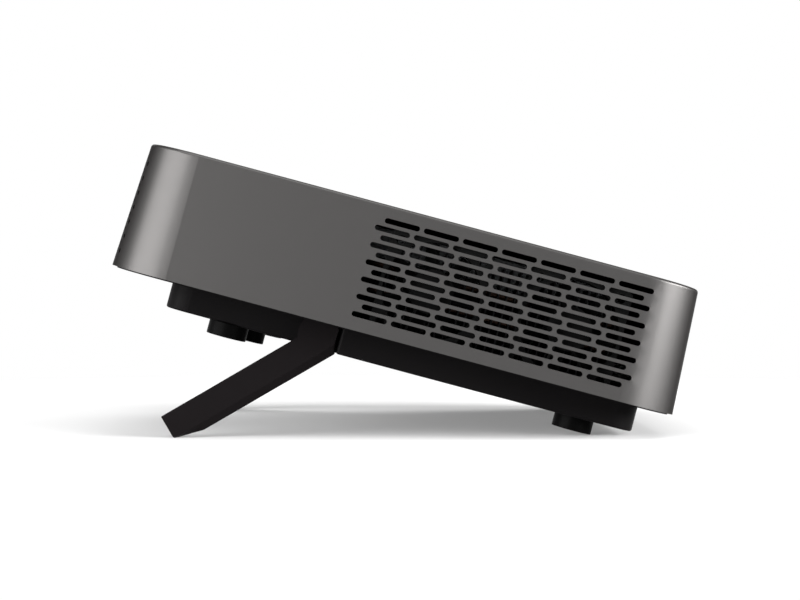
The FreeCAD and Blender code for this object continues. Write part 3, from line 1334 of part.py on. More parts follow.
def fin_stack():
    """Comb of upright fins on a base, pierced by the heat pipes."""
    x0 = FIN_LEFT
    y1 = FIN_NEAR + FIN_DEPTH
    base = box(x0, x0 + FIN_WIDTH, FIN_NEAR, y1, PLATE_TOP, PLATE_TOP + FIN_BASE)
    fins = [box(x0 + k * FIN_PITCH, x0 + k * FIN_PITCH + FIN_THICKNESS, FIN_NEAR, y1,
                PLATE_TOP, PLATE_TOP + FIN_HEIGHT) for k in range(FIN_COUNT)]
    x1 = x0 + FIN_WIDTH
    holes = [rod(PIPE_RADIUS + PIPE_HOLE_GAP, Vec(x0 - 1, PIPE_Y, z), Vec(x1 + 1, PIPE_Y, z))
             for z in PIPE_HEIGHTS]
    return join([base] + fins).cut(holes)


# ======== Optics ========

def light_engine():
    """Hollow metal block on four legs, with openings for lens, light sources and imager."""
    half = ENGINE_HALF_WIDTH
    block = box(ENGINE_FRONT, ENGINE_REAR, -half, half, ENGINE_FLOOR, ENGINE_TOP)
    edges = [edge for edge in block.Edges if edge.BoundBox.ZLength > (ENGINE_TOP - ENGINE_FLOOR) / 2]
    block = block.makeFillet(ENGINE_WALL, edges)
    hollow = box(ENGINE_FRONT + ENGINE_WALL, ENGINE_REAR - ENGINE_WALL,
                 -half + ENGINE_WALL, half - ENGINE_WALL,
                 ENGINE_FLOOR + ENGINE_WALL, ENGINE_TOP - ENGINE_WALL)
    lens_hole = rod(NECK_RADIUS, on_axis(ENGINE_FRONT - 1), on_axis(BARREL_BACK + FIT_GAP))
    windows = [box(x - LED_WINDOW, x + LED_WINDOW, -half - 1, -half + ENGINE_WALL + 1,
                   OPTIC_Z - LED_WINDOW, OPTIC_Z + LED_WINDOW) for x in led_places()]
    chip = IMAGER_CHIP / 2 + IMAGER_GAP
    back = box(ENGINE_REAR - ENGINE_WALL - 1, ENGINE_REAR + 1, -chip, chip, OPTIC_Z - chip, OPTIC_Z + chip)
    body = block.cut([hollow, lens_hole, back] + windows)
    reach = ENGINE_FOOT_RADIUS + ENGINE_WALL
    legs = [rod(ENGINE_FOOT_RADIUS, Vec(x, y, PLATE_TOP), Vec(x, y, ENGINE_FLOOR))
            for x in (ENGINE_FRONT + reach, ENGINE_REAR - reach) for y in (reach - half, half - reach)]
    pedestal = box(prism_front(), prism_front() + PRISM_SIZE, -PRISM_SIZE / 2, PRISM_SIZE / 2,
                   ENGINE_FLOOR + ENGINE_WALL, OPTIC_Z - PRISM_SIZE / 2)
    return join([body, pedestal] + legs)


def prism_front():
    """X of the prism's front face, clear of the lens barrel."""
    return BARREL_BACK + PRISM_GAP


def prism():
    return box(prism_front(), prism_front() + PRISM_SIZE, -PRISM_SIZE / 2, PRISM_SIZE / 2,
               OPTIC_Z - PRISM_SIZE / 2, OPTIC_Z + PRISM_SIZE / 2)


def imager_board():
    """Board on the engine's back with the picture chip facing in."""
    half = IMAGER_WIDTH / 2
    board = box(ENGINE_REAR, ENGINE_REAR + IMAGER_THICKNESS, -half, half,
                OPTIC_Z - IMAGER_HEIGHT / 2, OPTIC_Z + IMAGER_HEIGHT / 2)
    chip = IMAGER_CHIP / 2
    picture_chip = box(ENGINE_REAR - ENGINE_WALL, ENGINE_REAR, -chip, chip, OPTIC_Z - chip, OPTIC_Z + chip)
    return join([board, picture_chip])


def led_places():
    """X of the light sources along the engine's near side."""
    step = (ENGINE_LENGTH - 2 * LED_MARGIN) / LED_COUNT
    return [ENGINE_FRONT + LED_MARGIN + step * (k + 0.5) for k in range(LED_COUNT)]


def led_modules():
    """One block per colour, between the engine and the copper spreader."""
    y1 = -ENGINE_HALF_WIDTH
    half = LED_SIZE / 2
    return group([box(x - half, x + half, y1 - LED_THICKNESS, y1, OPTIC_Z - half, OPTIC_Z + half)
                  for x in led_places()])


def focus_pin_x():
    """X of the pin on the focusing cell at rest."""
    return CELL_FRONT + CELL_LENGTH - FOCUS_PIN_INSET


def focus_pin_slot():
    """Block round the focus pin's path in the barrel's upper side."""
    half = FOCUS_PIN_RADIUS + FOCUS_SLOT_GAP
    reach = half + CELL_TRAVEL
    x = focus_pin_x()
    return box(x - reach, x + reach, -half, half, OPTIC_Z + BARREL_BORE - 2, OPTIC_Z + BARREL_RADIUS + 1)


def lens_barrel():
    """Tube with a mounting flange, and a narrower neck that goes into the engine."""
    tube = ring(BARREL_RADIUS, BARREL_BORE, on_axis(BARREL_FRONT), on_axis(ENGINE_FRONT))
    flange = box(ENGINE_FRONT - BARREL_FLANGE, ENGINE_FRONT,
                 -BARREL_FLANGE_HALF_WIDTH, BARREL_FLANGE_HALF_WIDTH,
                 OPTIC_Z - BARREL_FLANGE_HALF_HEIGHT, OPTIC_Z + BARREL_FLANGE_HALF_HEIGHT)
    neck = rod(NECK_RADIUS, on_axis(ENGINE_FRONT - BARREL_FLANGE), on_axis(BARREL_BACK))
    rear = on_axis(BARREL_BACK + 1)
    light_path = rod(NECK_BORE - BARREL_STOP, on_axis(BARREL_FRONT - 1), rear)
    seat = rod(NECK_BORE, on_axis(rear_lens_front()), rear)
    front_bore = rod(BARREL_BORE, on_axis(BARREL_FRONT - 1), on_axis(ENGINE_FRONT - BARREL_FLANGE))
    return join([tube, flange, neck]).cut([light_path, seat, front_bore, focus_pin_slot()])


def on_axis(x):
    """Point on the optical axis."""
    return Vec(x, 0, OPTIC_Z)


def lens_solid(radius, front_x, bulge):
    """Lens with domed faces and a flat ground rim, starting at front_x, turned about the optical axis."""
    back_x = front_x + LENS_EDGE
    dome = radius - LENS_RIM
    sphere_radius = (dome ** 2 + bulge ** 2) / (2 * bulge)
    half_dome = dome / 2
    half_bulge = bulge - sphere_radius + math.sqrt(sphere_radius ** 2 - half_dome ** 2)
    front = Part.Arc(lens_point(front_x - bulge, 0), lens_point(front_x - half_bulge, half_dome),
                     lens_point(front_x, dome))
    back = Part.Arc(lens_point(back_x, dome), lens_point(back_x + half_bulge, half_dome),
                    lens_point(back_x + bulge, 0))
    corners = [lens_point(front_x, dome), lens_point(front_x, radius),
               lens_point(back_x, radius), lens_point(back_x, dome)]
    rim = [Part.LineSegment(start, end).toShape() for start, end in zip(corners, corners[1:])]
    axis = Part.LineSegment(lens_point(back_x + bulge, 0), lens_point(front_x - bulge, 0))
    wire = Part.Wire([front.toShape()] + rim + [back.toShape(), axis.toShape()])
    return Part.Face(wire).revolve(on_axis(0), ALONG_X, 360)


def lens_point(x, radius):
    """Point of a lens profile."""
    return Vec(x, 0, OPTIC_Z + radius)


def rear_lens_front():
    """X of the rear lens's front rim, against the barrel's stop."""
    return BARREL_BACK - LENS_EDGE - LENS_SETBACK / 2


def rear_lens():
    return lens_solid(NECK_BORE, rear_lens_front(), LENS_BULGE / 2)


def front_lens_front():
    """X of the front lens's front rim."""
    return CELL_FRONT + LENS_SETBACK


def focus_cell():
    """Sliding tube that carries the front lens, with a guide pin in the barrel's slot."""
    tube = ring(CELL_RADIUS, LENS_RADIUS, on_axis(CELL_FRONT), on_axis(CELL_FRONT + CELL_LENGTH))
    back = front_lens_front() + LENS_EDGE
    shoulder = ring(LENS_RADIUS + CELL_WALL / 2, LENS_RADIUS - BARREL_STOP, on_axis(back), on_axis(back + 1))
    x = focus_pin_x()
    pin = rod(FOCUS_PIN_RADIUS, Vec(x, 0, OPTIC_Z + LENS_RADIUS + CELL_WALL / 2),
              Vec(x, 0, OPTIC_Z + BARREL_RADIUS - FIT_GAP))
    return join([tube, shoulder, pin])


def front_lens():
    return lens_solid(LENS_RADIUS, front_lens_front(), LENS_BULGE)


def focus_ring():
    """Grooved ring round the barrel, with a lip in front of it."""
    bore = BARREL_RADIUS + SHAFT_GAP
    body = ring(RING_RADIUS, bore, on_axis(RING_FRONT), on_axis(RING_BACK))
    edges = [edge for edge in body.Edges if edge.BoundBox.XMax < RING_FRONT + TINY
             and edge.BoundBox.ZLength > 2 * bore + 1]
    body = body.makeFillet(RING_EDGE_RADIUS, edges)
    lip = ring(bore + 1, BARREL_BORE, on_axis(RING_FRONT), on_axis(RING_FRONT + RING_LIP))
    groove = rod(GROOVE_RADIUS, Vec(RING_FRONT + RING_EDGE_RADIUS, 0, OPTIC_Z + RING_RADIUS),
                 Vec(RING_BACK + 1, 0, OPTIC_Z + RING_RADIUS))
    grooves = []
    for k in range(GROOVE_COUNT):
        copy = groove.copy()
        copy.rotate(on_axis(0), ALONG_X, 360.0 * k / GROOVE_COUNT)
        grooves.append(copy)
    return join([body, lip]).cut(grooves)


# ======== Speakers ========

def speaker(y):
    """Loudspeaker behind the front wall: square flange on a foot, basket, cone and magnet."""
    half = SPEAKER_RADIUS + SPEAKER_MARGIN
    wall = -inner_half(BODY_LENGTH, OPTIC_Z + half) + CLOTH_THICKNESS
    flange = box(wall, wall + SPEAKER_FLANGE, y - half, y + half, PLATE_TOP, OPTIC_Z + half)
    centre = Vec(wall, y, OPTIC_Z)
    basket_depth = SPEAKER_DEPTH - MAGNET_DEPTH
    basket_start = centre + ALONG_X * SPEAKER_FLANGE
    basket = Part.makeCone(SPEAKER_RADIUS, MAGNET_RADIUS - 1, basket_depth, basket_start, ALONG_X)
    basket_end = basket_start + ALONG_X * basket_depth
    magnet = rod(MAGNET_RADIUS, basket_end, basket_end + ALONG_X * MAGNET_DEPTH)
    hollow = Part.makeCone(SPEAKER_RADIUS - SPEAKER_RIM, DUST_CAP_RADIUS + SPEAKER_RIM, CONE_DEPTH,
                           centre, ALONG_X)
    cap = Part.makeSphere(DUST_CAP_RADIUS, centre + ALONG_X * CONE_DEPTH)
    foot_block = box(wall, wall + SPEAKER_FLANGE + SPEAKER_DEPTH,
                     y - SPEAKER_FOOT_HALF, y + SPEAKER_FOOT_HALF,
                     PLATE_TOP, PLATE_TOP + SPEAKER_FLANGE)
    front = box(wall - SPEAKER_RADIUS, wall, y - half, y + half, PLATE_TOP, OPTIC_Z + half)
    body = join([flange, basket, magnet, foot_block]).cut(hollow)
    return join([body, cap.cut(front)])


def speaker_cloth():
    """Thin black cloth behind the holes of each speaker."""
    half = SPEAKER_RADIUS + SPEAKER_MARGIN
    outer = drafted_block(PLATE_TOP, OPTIC_Z + half, WALL)
    inner = drafted_block(PLATE_TOP - 1, OPTIC_Z + half + 1, WALL + CLOTH_THICKNESS)
    last_hole = BODY_WIDTH / 2 - CORNER_RADIUS + HOLE_LAST_COLUMN
    area = box(-BODY_LENGTH / 2, -BODY_LENGTH / 2 + CLOTH_REACH, -last_hole - 2 * HOLE_RADIUS,
               -SPEAKER_Y + half, PLATE_TOP, OPTIC_Z + half)
    posts = [rod(POST_RADIUS + FIT_GAP, Vec(x, y, 0), Vec(x, y, BAND_HEIGHT)) for x, y in corner_places()]
    return both_sides(outer.cut(inner).common(area).cut(posts))


# ======== Assembly ========

def nodes():
    """Every piece by name, level and unplaced."""
    shapes = {
        "band_housing": band_housing(),
        "top_cover": top_cover(),
        "bottom_plate": bottom_plate(),
        "base_pan": base_pan(),
        "case_screws": case_screws(),
        "tripod_insert": tripod_insert(),
        "battery_pack": battery_pack(),
        "foot_front_near": foot(FOOT_FRONT_X, -FOOT_Y),
        "foot_front_far": foot(FOOT_FRONT_X, FOOT_Y),
        "foot_rear_near": foot(FOOT_REAR_X, -FOOT_Y),
        "foot_rear_far": foot(FOOT_REAR_X, FOOT_Y),
        "bumper_feet": bumper_feet(),
        "stand_leg_near": stand_leg_near(),
        "stand_leg_far": stand_leg_far(),
        "stand_shaft": stand_shaft(),
        "toe_pads": toe_pads(),
        "shaft_bushes": shaft_bushes(),
        "friction_clips": friction_clips(),
        "drive_chassis": drive_chassis(),
        "tray_rails": tray_rails(),
        "disc_tray": disc_tray(),
        "tray_bezel": tray_bezel(),
        "eject_button": eject_button(),
        "spindle_motor": spindle_motor(),
        "spindle_hub": spindle_hub(),
        "guide_rods": guide_rods(),
        "laser_sled": laser_sled(),
        "sled_motor": sled_motor(),
        "lead_screw": lead_screw(),
        "main_board": main_board(),
        "hdmi_port": hdmi_port(),
        "usb_port": usb_port(),
        "audio_jacks": audio_jacks(),
        "power_inlet": power_inlet(),
        "fan_frame_front": fan_frame(0),
        "fan_frame_rear": fan_frame(1),
        "fan_rotor_front": fan_rotor(0),
        "fan_rotor_rear": fan_rotor(1),
        "heat_pipes": heat_pipes(),
        "fin_stack": fin_stack(),
        "light_engine": light_engine(),
        "prism": prism(),
        "imager_board": imager_board(),
        "led_modules": led_modules(),
        "lens_barrel": lens_barrel(),
        "rear_lens": rear_lens(),
        "focus_cell": focus_cell(),
        "front_lens": front_lens(),
        "focus_ring": focus_ring(),
        "ir_window": ir_window(),
        "speaker_near": speaker(-SPEAKER_Y),
        "speaker_far": speaker(SPEAKER_Y),
        "speaker_cloth": speaker_cloth(),
        "key_board": key_board(),
    }
    for name in ("ok_key", "power_key") + ARROW_KEYS:
        shapes[name] = key(name)
    return shapes


def middle_x():
    """X of the middle of the standing part, between the tilted band's two ends."""
    tilt = math.radians(TILT)
    low_end = -BODY_LENGTH / 2 * math.cos(tilt)
    high_end = outer_half(BODY_LENGTH, BAND_HEIGHT) * math.cos(tilt) + BAND_HEIGHT * math.sin(tilt)
    return (low_end + high_end) / 2


def stand_up(shape):
    """Tilt a level shape about Y, lens end up, and stand it on the floor at z 0."""
    shape.rotate(ORIGIN, ALONG_Y, TILT)
    shape.translate(Vec(-middle_x(), 0, -floor_height()))
    return shape


def main():
    os.makedirs("parts", exist_ok=True)
    for name, shape in nodes().items():
        stand_up(shape).exportStep("parts/" + name + ".step")


if __name__ == "__main__":
    main()
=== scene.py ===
import json
import math

import bpy
from mathutils import Matrix, Vector


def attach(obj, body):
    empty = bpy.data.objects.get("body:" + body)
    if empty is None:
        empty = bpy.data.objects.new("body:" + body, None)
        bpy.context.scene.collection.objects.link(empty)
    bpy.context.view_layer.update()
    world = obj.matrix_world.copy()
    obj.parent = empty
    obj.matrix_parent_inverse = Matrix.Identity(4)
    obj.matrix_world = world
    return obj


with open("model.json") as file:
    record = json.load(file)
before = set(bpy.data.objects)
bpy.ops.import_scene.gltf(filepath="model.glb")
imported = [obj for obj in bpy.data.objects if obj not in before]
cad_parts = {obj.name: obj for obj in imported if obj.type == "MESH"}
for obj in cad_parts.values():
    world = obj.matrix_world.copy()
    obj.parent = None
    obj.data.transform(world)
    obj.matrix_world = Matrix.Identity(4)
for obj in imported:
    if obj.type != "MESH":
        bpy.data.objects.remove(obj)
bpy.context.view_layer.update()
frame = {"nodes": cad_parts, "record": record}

MM = 0.001

# ---- Body frame: the case's own axes, in which it lies level ----
HINGE_LEVEL = Vector((-0.0278, 0, -0.0055))

# ---- Dust screen behind the far side's slots, level and in millimetres ----
SCREEN_LEFT = -18.0
SCREEN_RIGHT = 91.0
SCREEN_BOTTOM = 4.0
SCREEN_TOP = 25.0
SCREEN_Y = 106.0
SCREEN_PLEAT = 3.0
SCREEN_PLEAT_DEPTH = 1.4
SCREEN_STEPS = 8
SCREEN_CLOTH = 0.25
SCREEN_FRAME_WIDTH = 2.0
SCREEN_FRAME_DEPTH = 2.4
SCREEN_FRAME_EDGE = 0.3

# ---- Materials ----
NOISE_LOW = 0.3
NOISE_HIGH = 0.7
NOISE_ROUGHNESS = 0.6
BROAD_GRAIN = 40
TURNED_LINE_MM = 0.4
TURNED_STRETCH = (1.0, 0.05, 1.0)
TURNED_HEIGHT_MM = 0.003
WEAVE_DISTORTION = 0.4
WEAVE_HEIGHT_MM = 0.05
GLASS_INDEX = 1.5
COATING_INDEX = 1.38
TRACE_SIZE_MM = 3.0
TRACE_HEIGHT_MM = 0.02
BAND_TINT = (0.3, 0.3, 0.3, 1.0)
WHITE = (1, 1, 1, 1)

# ---- Camera ----
FOCAL_LENGTH_MM = 84.13
SENSOR_WIDTH_MM = 36.0
CAMERA_PLACE = (-0.0021, -0.812, 0.0527)

# ---- Studio ----
FLOOR_SIZE = 12.0
FLOOR_COLOUR = (0.68, 0.68, 0.68)
FLOOR_FADE_START = 0.20
FLOOR_FADE_END = 0.50
FLOOR_NEAR_WHITE = 0.2
WORLD_SEEN = 1.0
WORLD_LIGHT = 0.2
LIT_POINT = (0, 0, 0.06)
LEFT_BOX = {"place": (-1.02, -0.82, 0.36), "width": 1.5, "height": 0.9, "power": 32.5}
RIGHT_BOX = {"place": (1.22, -0.50, 0.31), "width": 1.15, "height": 0.6, "power": 56.0}
TOP_BOX = {"place": (0, -0.50, 1.35), "width": 1.1, "height": 1.2, "power": 12.0}
BACK_BOX = {"place": (0, 1.05, 0.80), "width": 1.6, "height": 0.6, "power": 16.0}


# ======== Materials ========

def new_material(name, colour, metallic=0.0, roughness=0.5, specular=0.5):
    """Principled material with plain values on its own sockets."""
    material = bpy.data.materials.new(name)
    material.use_nodes = True
    shader = material.node_tree.nodes["Principled BSDF"]
    shader.inputs["Base Color"].default_value = (*colour, 1.0)
    shader.inputs["Metallic"].default_value = metallic
    shader.inputs["Roughness"].default_value = roughness
    shader.inputs["Specular IOR Level"].default_value = specular
    material.diffuse_color = (*colour, 1.0)
    return material


def shader_of(material):
    """The material's principled shader."""
    return material.node_tree.nodes["Principled BSDF"]


def add_node(material, kind, **inputs):
    """New node with values set on its inputs."""
    node = material.node_tree.nodes.new(kind)
    for name, value in inputs.items():
        node.inputs[name].default_value = value
    return node


def object_place(material):
    """Output that gives the place in the object's own space, in metres."""
    return add_node(material, "ShaderNodeTexCoord").outputs["Object"]


def stretched(material, scale):
    """The object's own space, scaled along each axis."""
    mapping = add_node(material, "ShaderNodeMapping")
    mapping.inputs["Scale"].default_value = scale
    material.node_tree.links.new(object_place(material), mapping.inputs["Vector"])
    return mapping.outputs["Vector"]


def noise(material, grain_mm, detail=3.0, place=None):
    """Noise whose grains are about this size."""
    node = add_node(material, "ShaderNodeTexNoise", Scale=1.0 / (grain_mm * MM), Detail=detail,
                    Roughness=NOISE_ROUGHNESS)
    source = object_place(material) if place is None else place
    material.node_tree.links.new(source, node.inputs["Vector"])
    return node.outputs["Fac"]


def vary(material, socket, fac, low, high):
    """Drives a shader number between two values by a noise."""
    remap = add_node(material, "ShaderNodeMapRange")
    remap.inputs["From Min"].default_value = NOISE_LOW
    remap.inputs["From Max"].default_value = NOISE_HIGH
    remap.inputs["To Min"].default_value = low
    remap.inputs["To Max"].default_value = high
    material.node_tree.links.new(fac, remap.inputs["Value"])
    material.node_tree.links.new(remap.outputs["Result"], shader_of(material).inputs[socket])


def mottle(material, fac, dark, light):
    """Drives the base colour between two colours by a noise."""
    ramp = add_node(material, "ShaderNodeValToRGB")
    ramp.color_ramp.elements[0].position = NOISE_LOW
    ramp.color_ramp.elements[0].color = (*dark, 1.0)
    ramp.color_ramp.elements[1].position = NOISE_HIGH
    ramp.color_ramp.elements[1].color = (*light, 1.0)
    material.node_tree.links.new(fac, ramp.inputs["Fac"])
    material.node_tree.links.new(ramp.outputs["Color"], shader_of(material).inputs["Base Color"])


def relief(material, fac, height_mm, strength=1.0):
    """Bumps of about this height from a noise."""
    bump = add_node(material, "ShaderNodeBump", Strength=strength, Distance=height_mm * MM)
    material.node_tree.links.new(fac, bump.inputs["Height"])
    material.node_tree.links.new(bump.outputs["Normal"], shader_of(material).inputs["Normal"])


def scaled(colour, factor):
    """A colour made darker or lighter."""
    return tuple(c * factor for c in colour)


def grained(name, colour, metallic, roughness, specular, grain_mm, height_mm,
            contrast=0.06, gloss_change=0.05):
    """Moulded or blasted surface: fine grain in colour, gloss and relief."""
    material = new_material(name, colour, metallic, roughness, specular)
    fine = noise(material, grain_mm)
    broad = noise(material, grain_mm * BROAD_GRAIN, detail=2.0)
    mottle(material, fine, scaled(colour, 1 - contrast), scaled(colour, 1 + contrast))
    vary(material, "Roughness", broad, roughness - gloss_change, roughness + gloss_change)
    relief(material, fine, height_mm)
    return material


def band_metal():
    """Dark grey anodised aluminium with a fine blasted grain."""
    material = grained("band_metal", (0.0655, 0.0635, 0.0625), metallic=1.0, roughness=0.4,
                       specular=0.5, grain_mm=0.12, height_mm=0.002, contrast=0.04, gloss_change=0.008)
    shader_of(material).inputs["Specular Tint"].default_value = BAND_TINT
    return material


def woven(name, colour, thread_mm):
    """Fine plain-weave cloth."""
    material = new_material(name, colour, 0.0, 0.9, 0.2)
    waves = []
    for direction in ("X", "Z"):
        wave = add_node(material, "ShaderNodeTexWave", Scale=0.5 / (thread_mm * MM),
                        Distortion=WEAVE_DISTORTION)
        wave.bands_direction = direction
        material.node_tree.links.new(object_place(material), wave.inputs["Vector"])
        waves.append(wave.outputs["Fac"])
    both = add_node(material, "ShaderNodeMath")
    both.operation = "MULTIPLY"
    for i, wave in enumerate(waves):
        material.node_tree.links.new(wave, both.inputs[i])
    mottle(material, both.outputs["Value"], scaled(colour, 0.6), scaled(colour, 1.5))
    relief(material, both.outputs["Value"], WEAVE_HEIGHT_MM)
    return material


def turned(name, colour, roughness, metallic=1.0):
    """Turned or drawn metal with fine lines."""
    material = new_material(name, colour, metallic, roughness, 0.5)
    lines = noise(material, TURNED_LINE_MM, detail=4.0, place=stretched(material, TURNED_STRETCH))
    vary(material, "Roughness", lines, roughness - 0.06, roughness + 0.08)
    mottle(material, lines, scaled(colour, 0.93), scaled(colour, 1.05))
    relief(material, lines, TURNED_HEIGHT_MM)
    return material


def glass(name, colour, roughness=0.0, film_nm=0.0):
    """Clear optical glass, with a thin coating where its thickness is given."""
    material = new_material(name, colour, 0.0, roughness, 0.5)
    shader = shader_of(material)
    shader.inputs["Transmission Weight"].default_value = 1.0
    shader.inputs["IOR"].default_value = GLASS_INDEX
    if film_nm:
        shader.inputs["Thin Film Thickness"].default_value = film_nm
        shader.inputs["Thin Film IOR"].default_value = COATING_INDEX
    return material


def circuit_board():
    """Green board with paler traces."""
    material = new_material("board_green", (0.012, 0.07, 0.03), 0.0, 0.45, 0.5)
    cells = add_node(material, "ShaderNodeTexVoronoi", Scale=1.0 / (TRACE_SIZE_MM * MM))
    cells.distance = "CHEBYCHEV"
    cells.feature = "F1"
    material.node_tree.links.new(object_place(material), cells.inputs["Vector"])
    mottle(material, cells.outputs["Distance"], (0.008, 0.05, 0.02), (0.02, 0.12, 0.05))
    relief(material, cells.outputs["Distance"], TRACE_HEIGHT_MM)
    return material


def all_materials():
    """Every material by the record's slot name."""
    return {
        "band_metal": band_metal(),
        "cover_black": grained("cover_black", (0.006, 0.006, 0.0064), metallic=0.0, roughness=0.34,
                               specular=0.2, grain_mm=0.15, height_mm=0.003, contrast=0.06,
                               gloss_change=0.012),
        "case_black": grained("case_black", (0.004, 0.0036, 0.0038), metallic=0.0, roughness=0.45,
                              specular=0.03, grain_mm=0.18, height_mm=0.006),
        "stand_black": grained("stand_black", (0.006, 0.0051, 0.0054), metallic=0.0, roughness=0.42,
                               specular=0.015, grain_mm=0.16, height_mm=0.005),
        "rubber_black": grained("rubber_black", (0.0015, 0.0015, 0.0015), metallic=0.0, roughness=0.4,
                                specular=0.02, grain_mm=0.3, height_mm=0.01),
        "key_black": grained("key_black", (0.016, 0.016, 0.017), metallic=0.0, roughness=0.4,
                             specular=0.2, grain_mm=0.12, height_mm=0.002),
        "steel": turned("steel", (0.55, 0.55, 0.56), 0.25),
        # Zinc sheet darker than bare zinc: painted shade for the inside of the case.
        "zinc_sheet": grained("zinc_sheet", (0.2, 0.205, 0.21), metallic=1.0, roughness=0.42,
                              specular=0.5, grain_mm=2.0, height_mm=0.002, contrast=0.12,
                              gloss_change=0.08),
        "port_metal": turned("port_metal", (0.34, 0.34, 0.335), 0.3),
        "brass": turned("brass", (0.72, 0.5, 0.2), 0.25),
        # Copper and fin colours darkened far below copper and aluminium: painted shade for the inside of
        # the case.
        "copper": turned("copper", (0.05, 0.03, 0.022), 0.4),
        "fin_aluminium": turned("fin_aluminium", (0.02, 0.02, 0.021), 0.5),
        "cast_metal": grained("cast_metal", (0.05, 0.05, 0.052), metallic=1.0, roughness=0.55,
                              specular=0.5, grain_mm=0.8, height_mm=0.03, contrast=0.1,
                              gloss_change=0.06),
        "inner_plastic": grained("inner_plastic", (0.003, 0.003, 0.003), metallic=0.0, roughness=0.55,
                                 specular=0.08, grain_mm=0.2, height_mm=0.006),
        "tray_grey": grained("tray_grey", (0.035, 0.035, 0.037), metallic=0.0, roughness=0.5,
                             specular=0.4, grain_mm=0.2, height_mm=0.006),
        "board_green": circuit_board(),
        "battery_wrap": grained("battery_wrap", (0.03, 0.05, 0.09), metallic=0.0, roughness=0.35,
                                specular=0.5, grain_mm=3.0, height_mm=0.02),
        "lens_black": grained("lens_black", (0.03, 0.03, 0.03), metallic=1.0, roughness=0.42,
                              specular=0.5, grain_mm=0.12, height_mm=0.002),
        "lens_glass": glass("lens_glass", (0.93, 0.96, 1.0), 0.0, 330.0),
        "ir_plastic": grained("ir_plastic", (0.012, 0.002, 0.002), metallic=0.0, roughness=0.4,
                              specular=0.02, grain_mm=0.3, height_mm=0.001),
        "cloth_black": woven("cloth_black", (0.008, 0.008, 0.008), 0.35),
    }


def dress_nodes(materials):
    """Gives each CAD node the material of its slot."""
    for part in frame["record"]["subparts"]:
        node = frame["nodes"][part["node"]]
        node.data.materials.clear()
        node.data.materials.append(materials[part["material_slot"]])


# ======== Added pieces ========

def level_to_world():
    """Turns places in the level case, in metres, into the frame's."""
    record = frame["record"]
    down = next(Vector(m["axis"]) for m in record["mounts"] if m["name"] == "rear_feet_face")
    hinge = next(Vector(j["pos_m"]) for j in record["behaviour"]["joints"] if j["name"] == "stand_fold")
    turn = Matrix.Rotation(math.atan2(-down.x, -down.z), 4, "Y")
    level_hinge = turn @ HINGE_LEVEL
    return Matrix.Translation((hinge.x - level_hinge.x, 0, hinge.z - level_hinge.z)) @ turn


def add_piece(name, mesh, body, material):
    """Object for a mesh in level millimetres, riding on a body."""
    mesh.transform(level_to_world() @ Matrix.Scale(MM, 4))
    mesh.materials.append(material)
    piece = bpy.data.objects.new(name, mesh)
    bpy.context.collection.objects.link(piece)
    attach(piece, body)
    return piece


def thicken(piece, thickness_mm):
    """Gives a sheet its thickness."""
    modifier = piece.modifiers.new("thickness", "SOLIDIFY")
    modifier.thickness = thickness_mm * MM
    modifier.offset = 0


def soften(piece, width_mm):
    """Rounds a piece's sharp edges."""
    modifier = piece.modifiers.new("edges", "BEVEL")
    modifier.width = width_mm * MM
    modifier.segments = 2
    modifier.limit_method = "ANGLE"


def screen_corners(inset):
    """The screen's four corners, moved in by this much."""
    left = SCREEN_LEFT + inset
    right = SCREEN_RIGHT - inset
    bottom = SCREEN_BOTTOM + inset
    top = SCREEN_TOP - inset
    return [(left, bottom), (right, bottom), (right, top), (left, top)]


def dust_screen(materials):
    """Pleated cloth in a thin frame, behind the exhaust slots."""
    pleats = round((SCREEN_RIGHT - SCREEN_LEFT) / SCREEN_PLEAT)
    count = pleats * SCREEN_STEPS
    points = []
    for z in (SCREEN_BOTTOM, SCREEN_TOP):
        for i in range(count + 1):
            x = SCREEN_LEFT + (SCREEN_RIGHT - SCREEN_LEFT) * i / count
            fold = math.sin(2 * math.pi * i / SCREEN_STEPS)
            points.append((x, SCREEN_Y + SCREEN_PLEAT_DEPTH / 2 * fold, z))
    faces = [(i, i + 1, i + count + 2, i + count + 1) for i in range(count)]
    mesh = bpy.data.meshes.new("dust_screen")
    mesh.from_pydata(points, [], faces)
    thicken(add_piece("dust_screen", mesh, "case", materials["cloth_black"]), SCREEN_CLOTH)

    points = [(x, SCREEN_Y, z) for x, z in screen_corners(0) + screen_corners(SCREEN_FRAME_WIDTH)]
    faces = [(i, (i + 1) % 4, 4 + (i + 1) % 4, 4 + i) for i in range(4)]
    mesh = bpy.data.meshes.new("dust_screen_frame")
    mesh.from_pydata(points, [], faces)
    rim = add_piece("dust_screen_frame", mesh, "case", materials["inner_plastic"])
    thicken(rim, SCREEN_FRAME_DEPTH)
    soften(rim, SCREEN_FRAME_EDGE)


# ======== Studio ========

def seen_directly(tree):
    """1 on camera, glossy and transmission rays, and 0 on the rays that light the object."""
    path = tree.nodes.new("ShaderNodeLightPath")
    seen = path.outputs["Is Camera Ray"]
    for name in ("Is Glossy Ray", "Is Transmission Ray"):
        either = tree.nodes.new("ShaderNodeMath")
        either.operation = "MAXIMUM"
        tree.links.new(seen, either.inputs[0])
        tree.links.new(path.outputs[name], either.inputs[1])
        seen = either.outputs["Value"]
    return seen


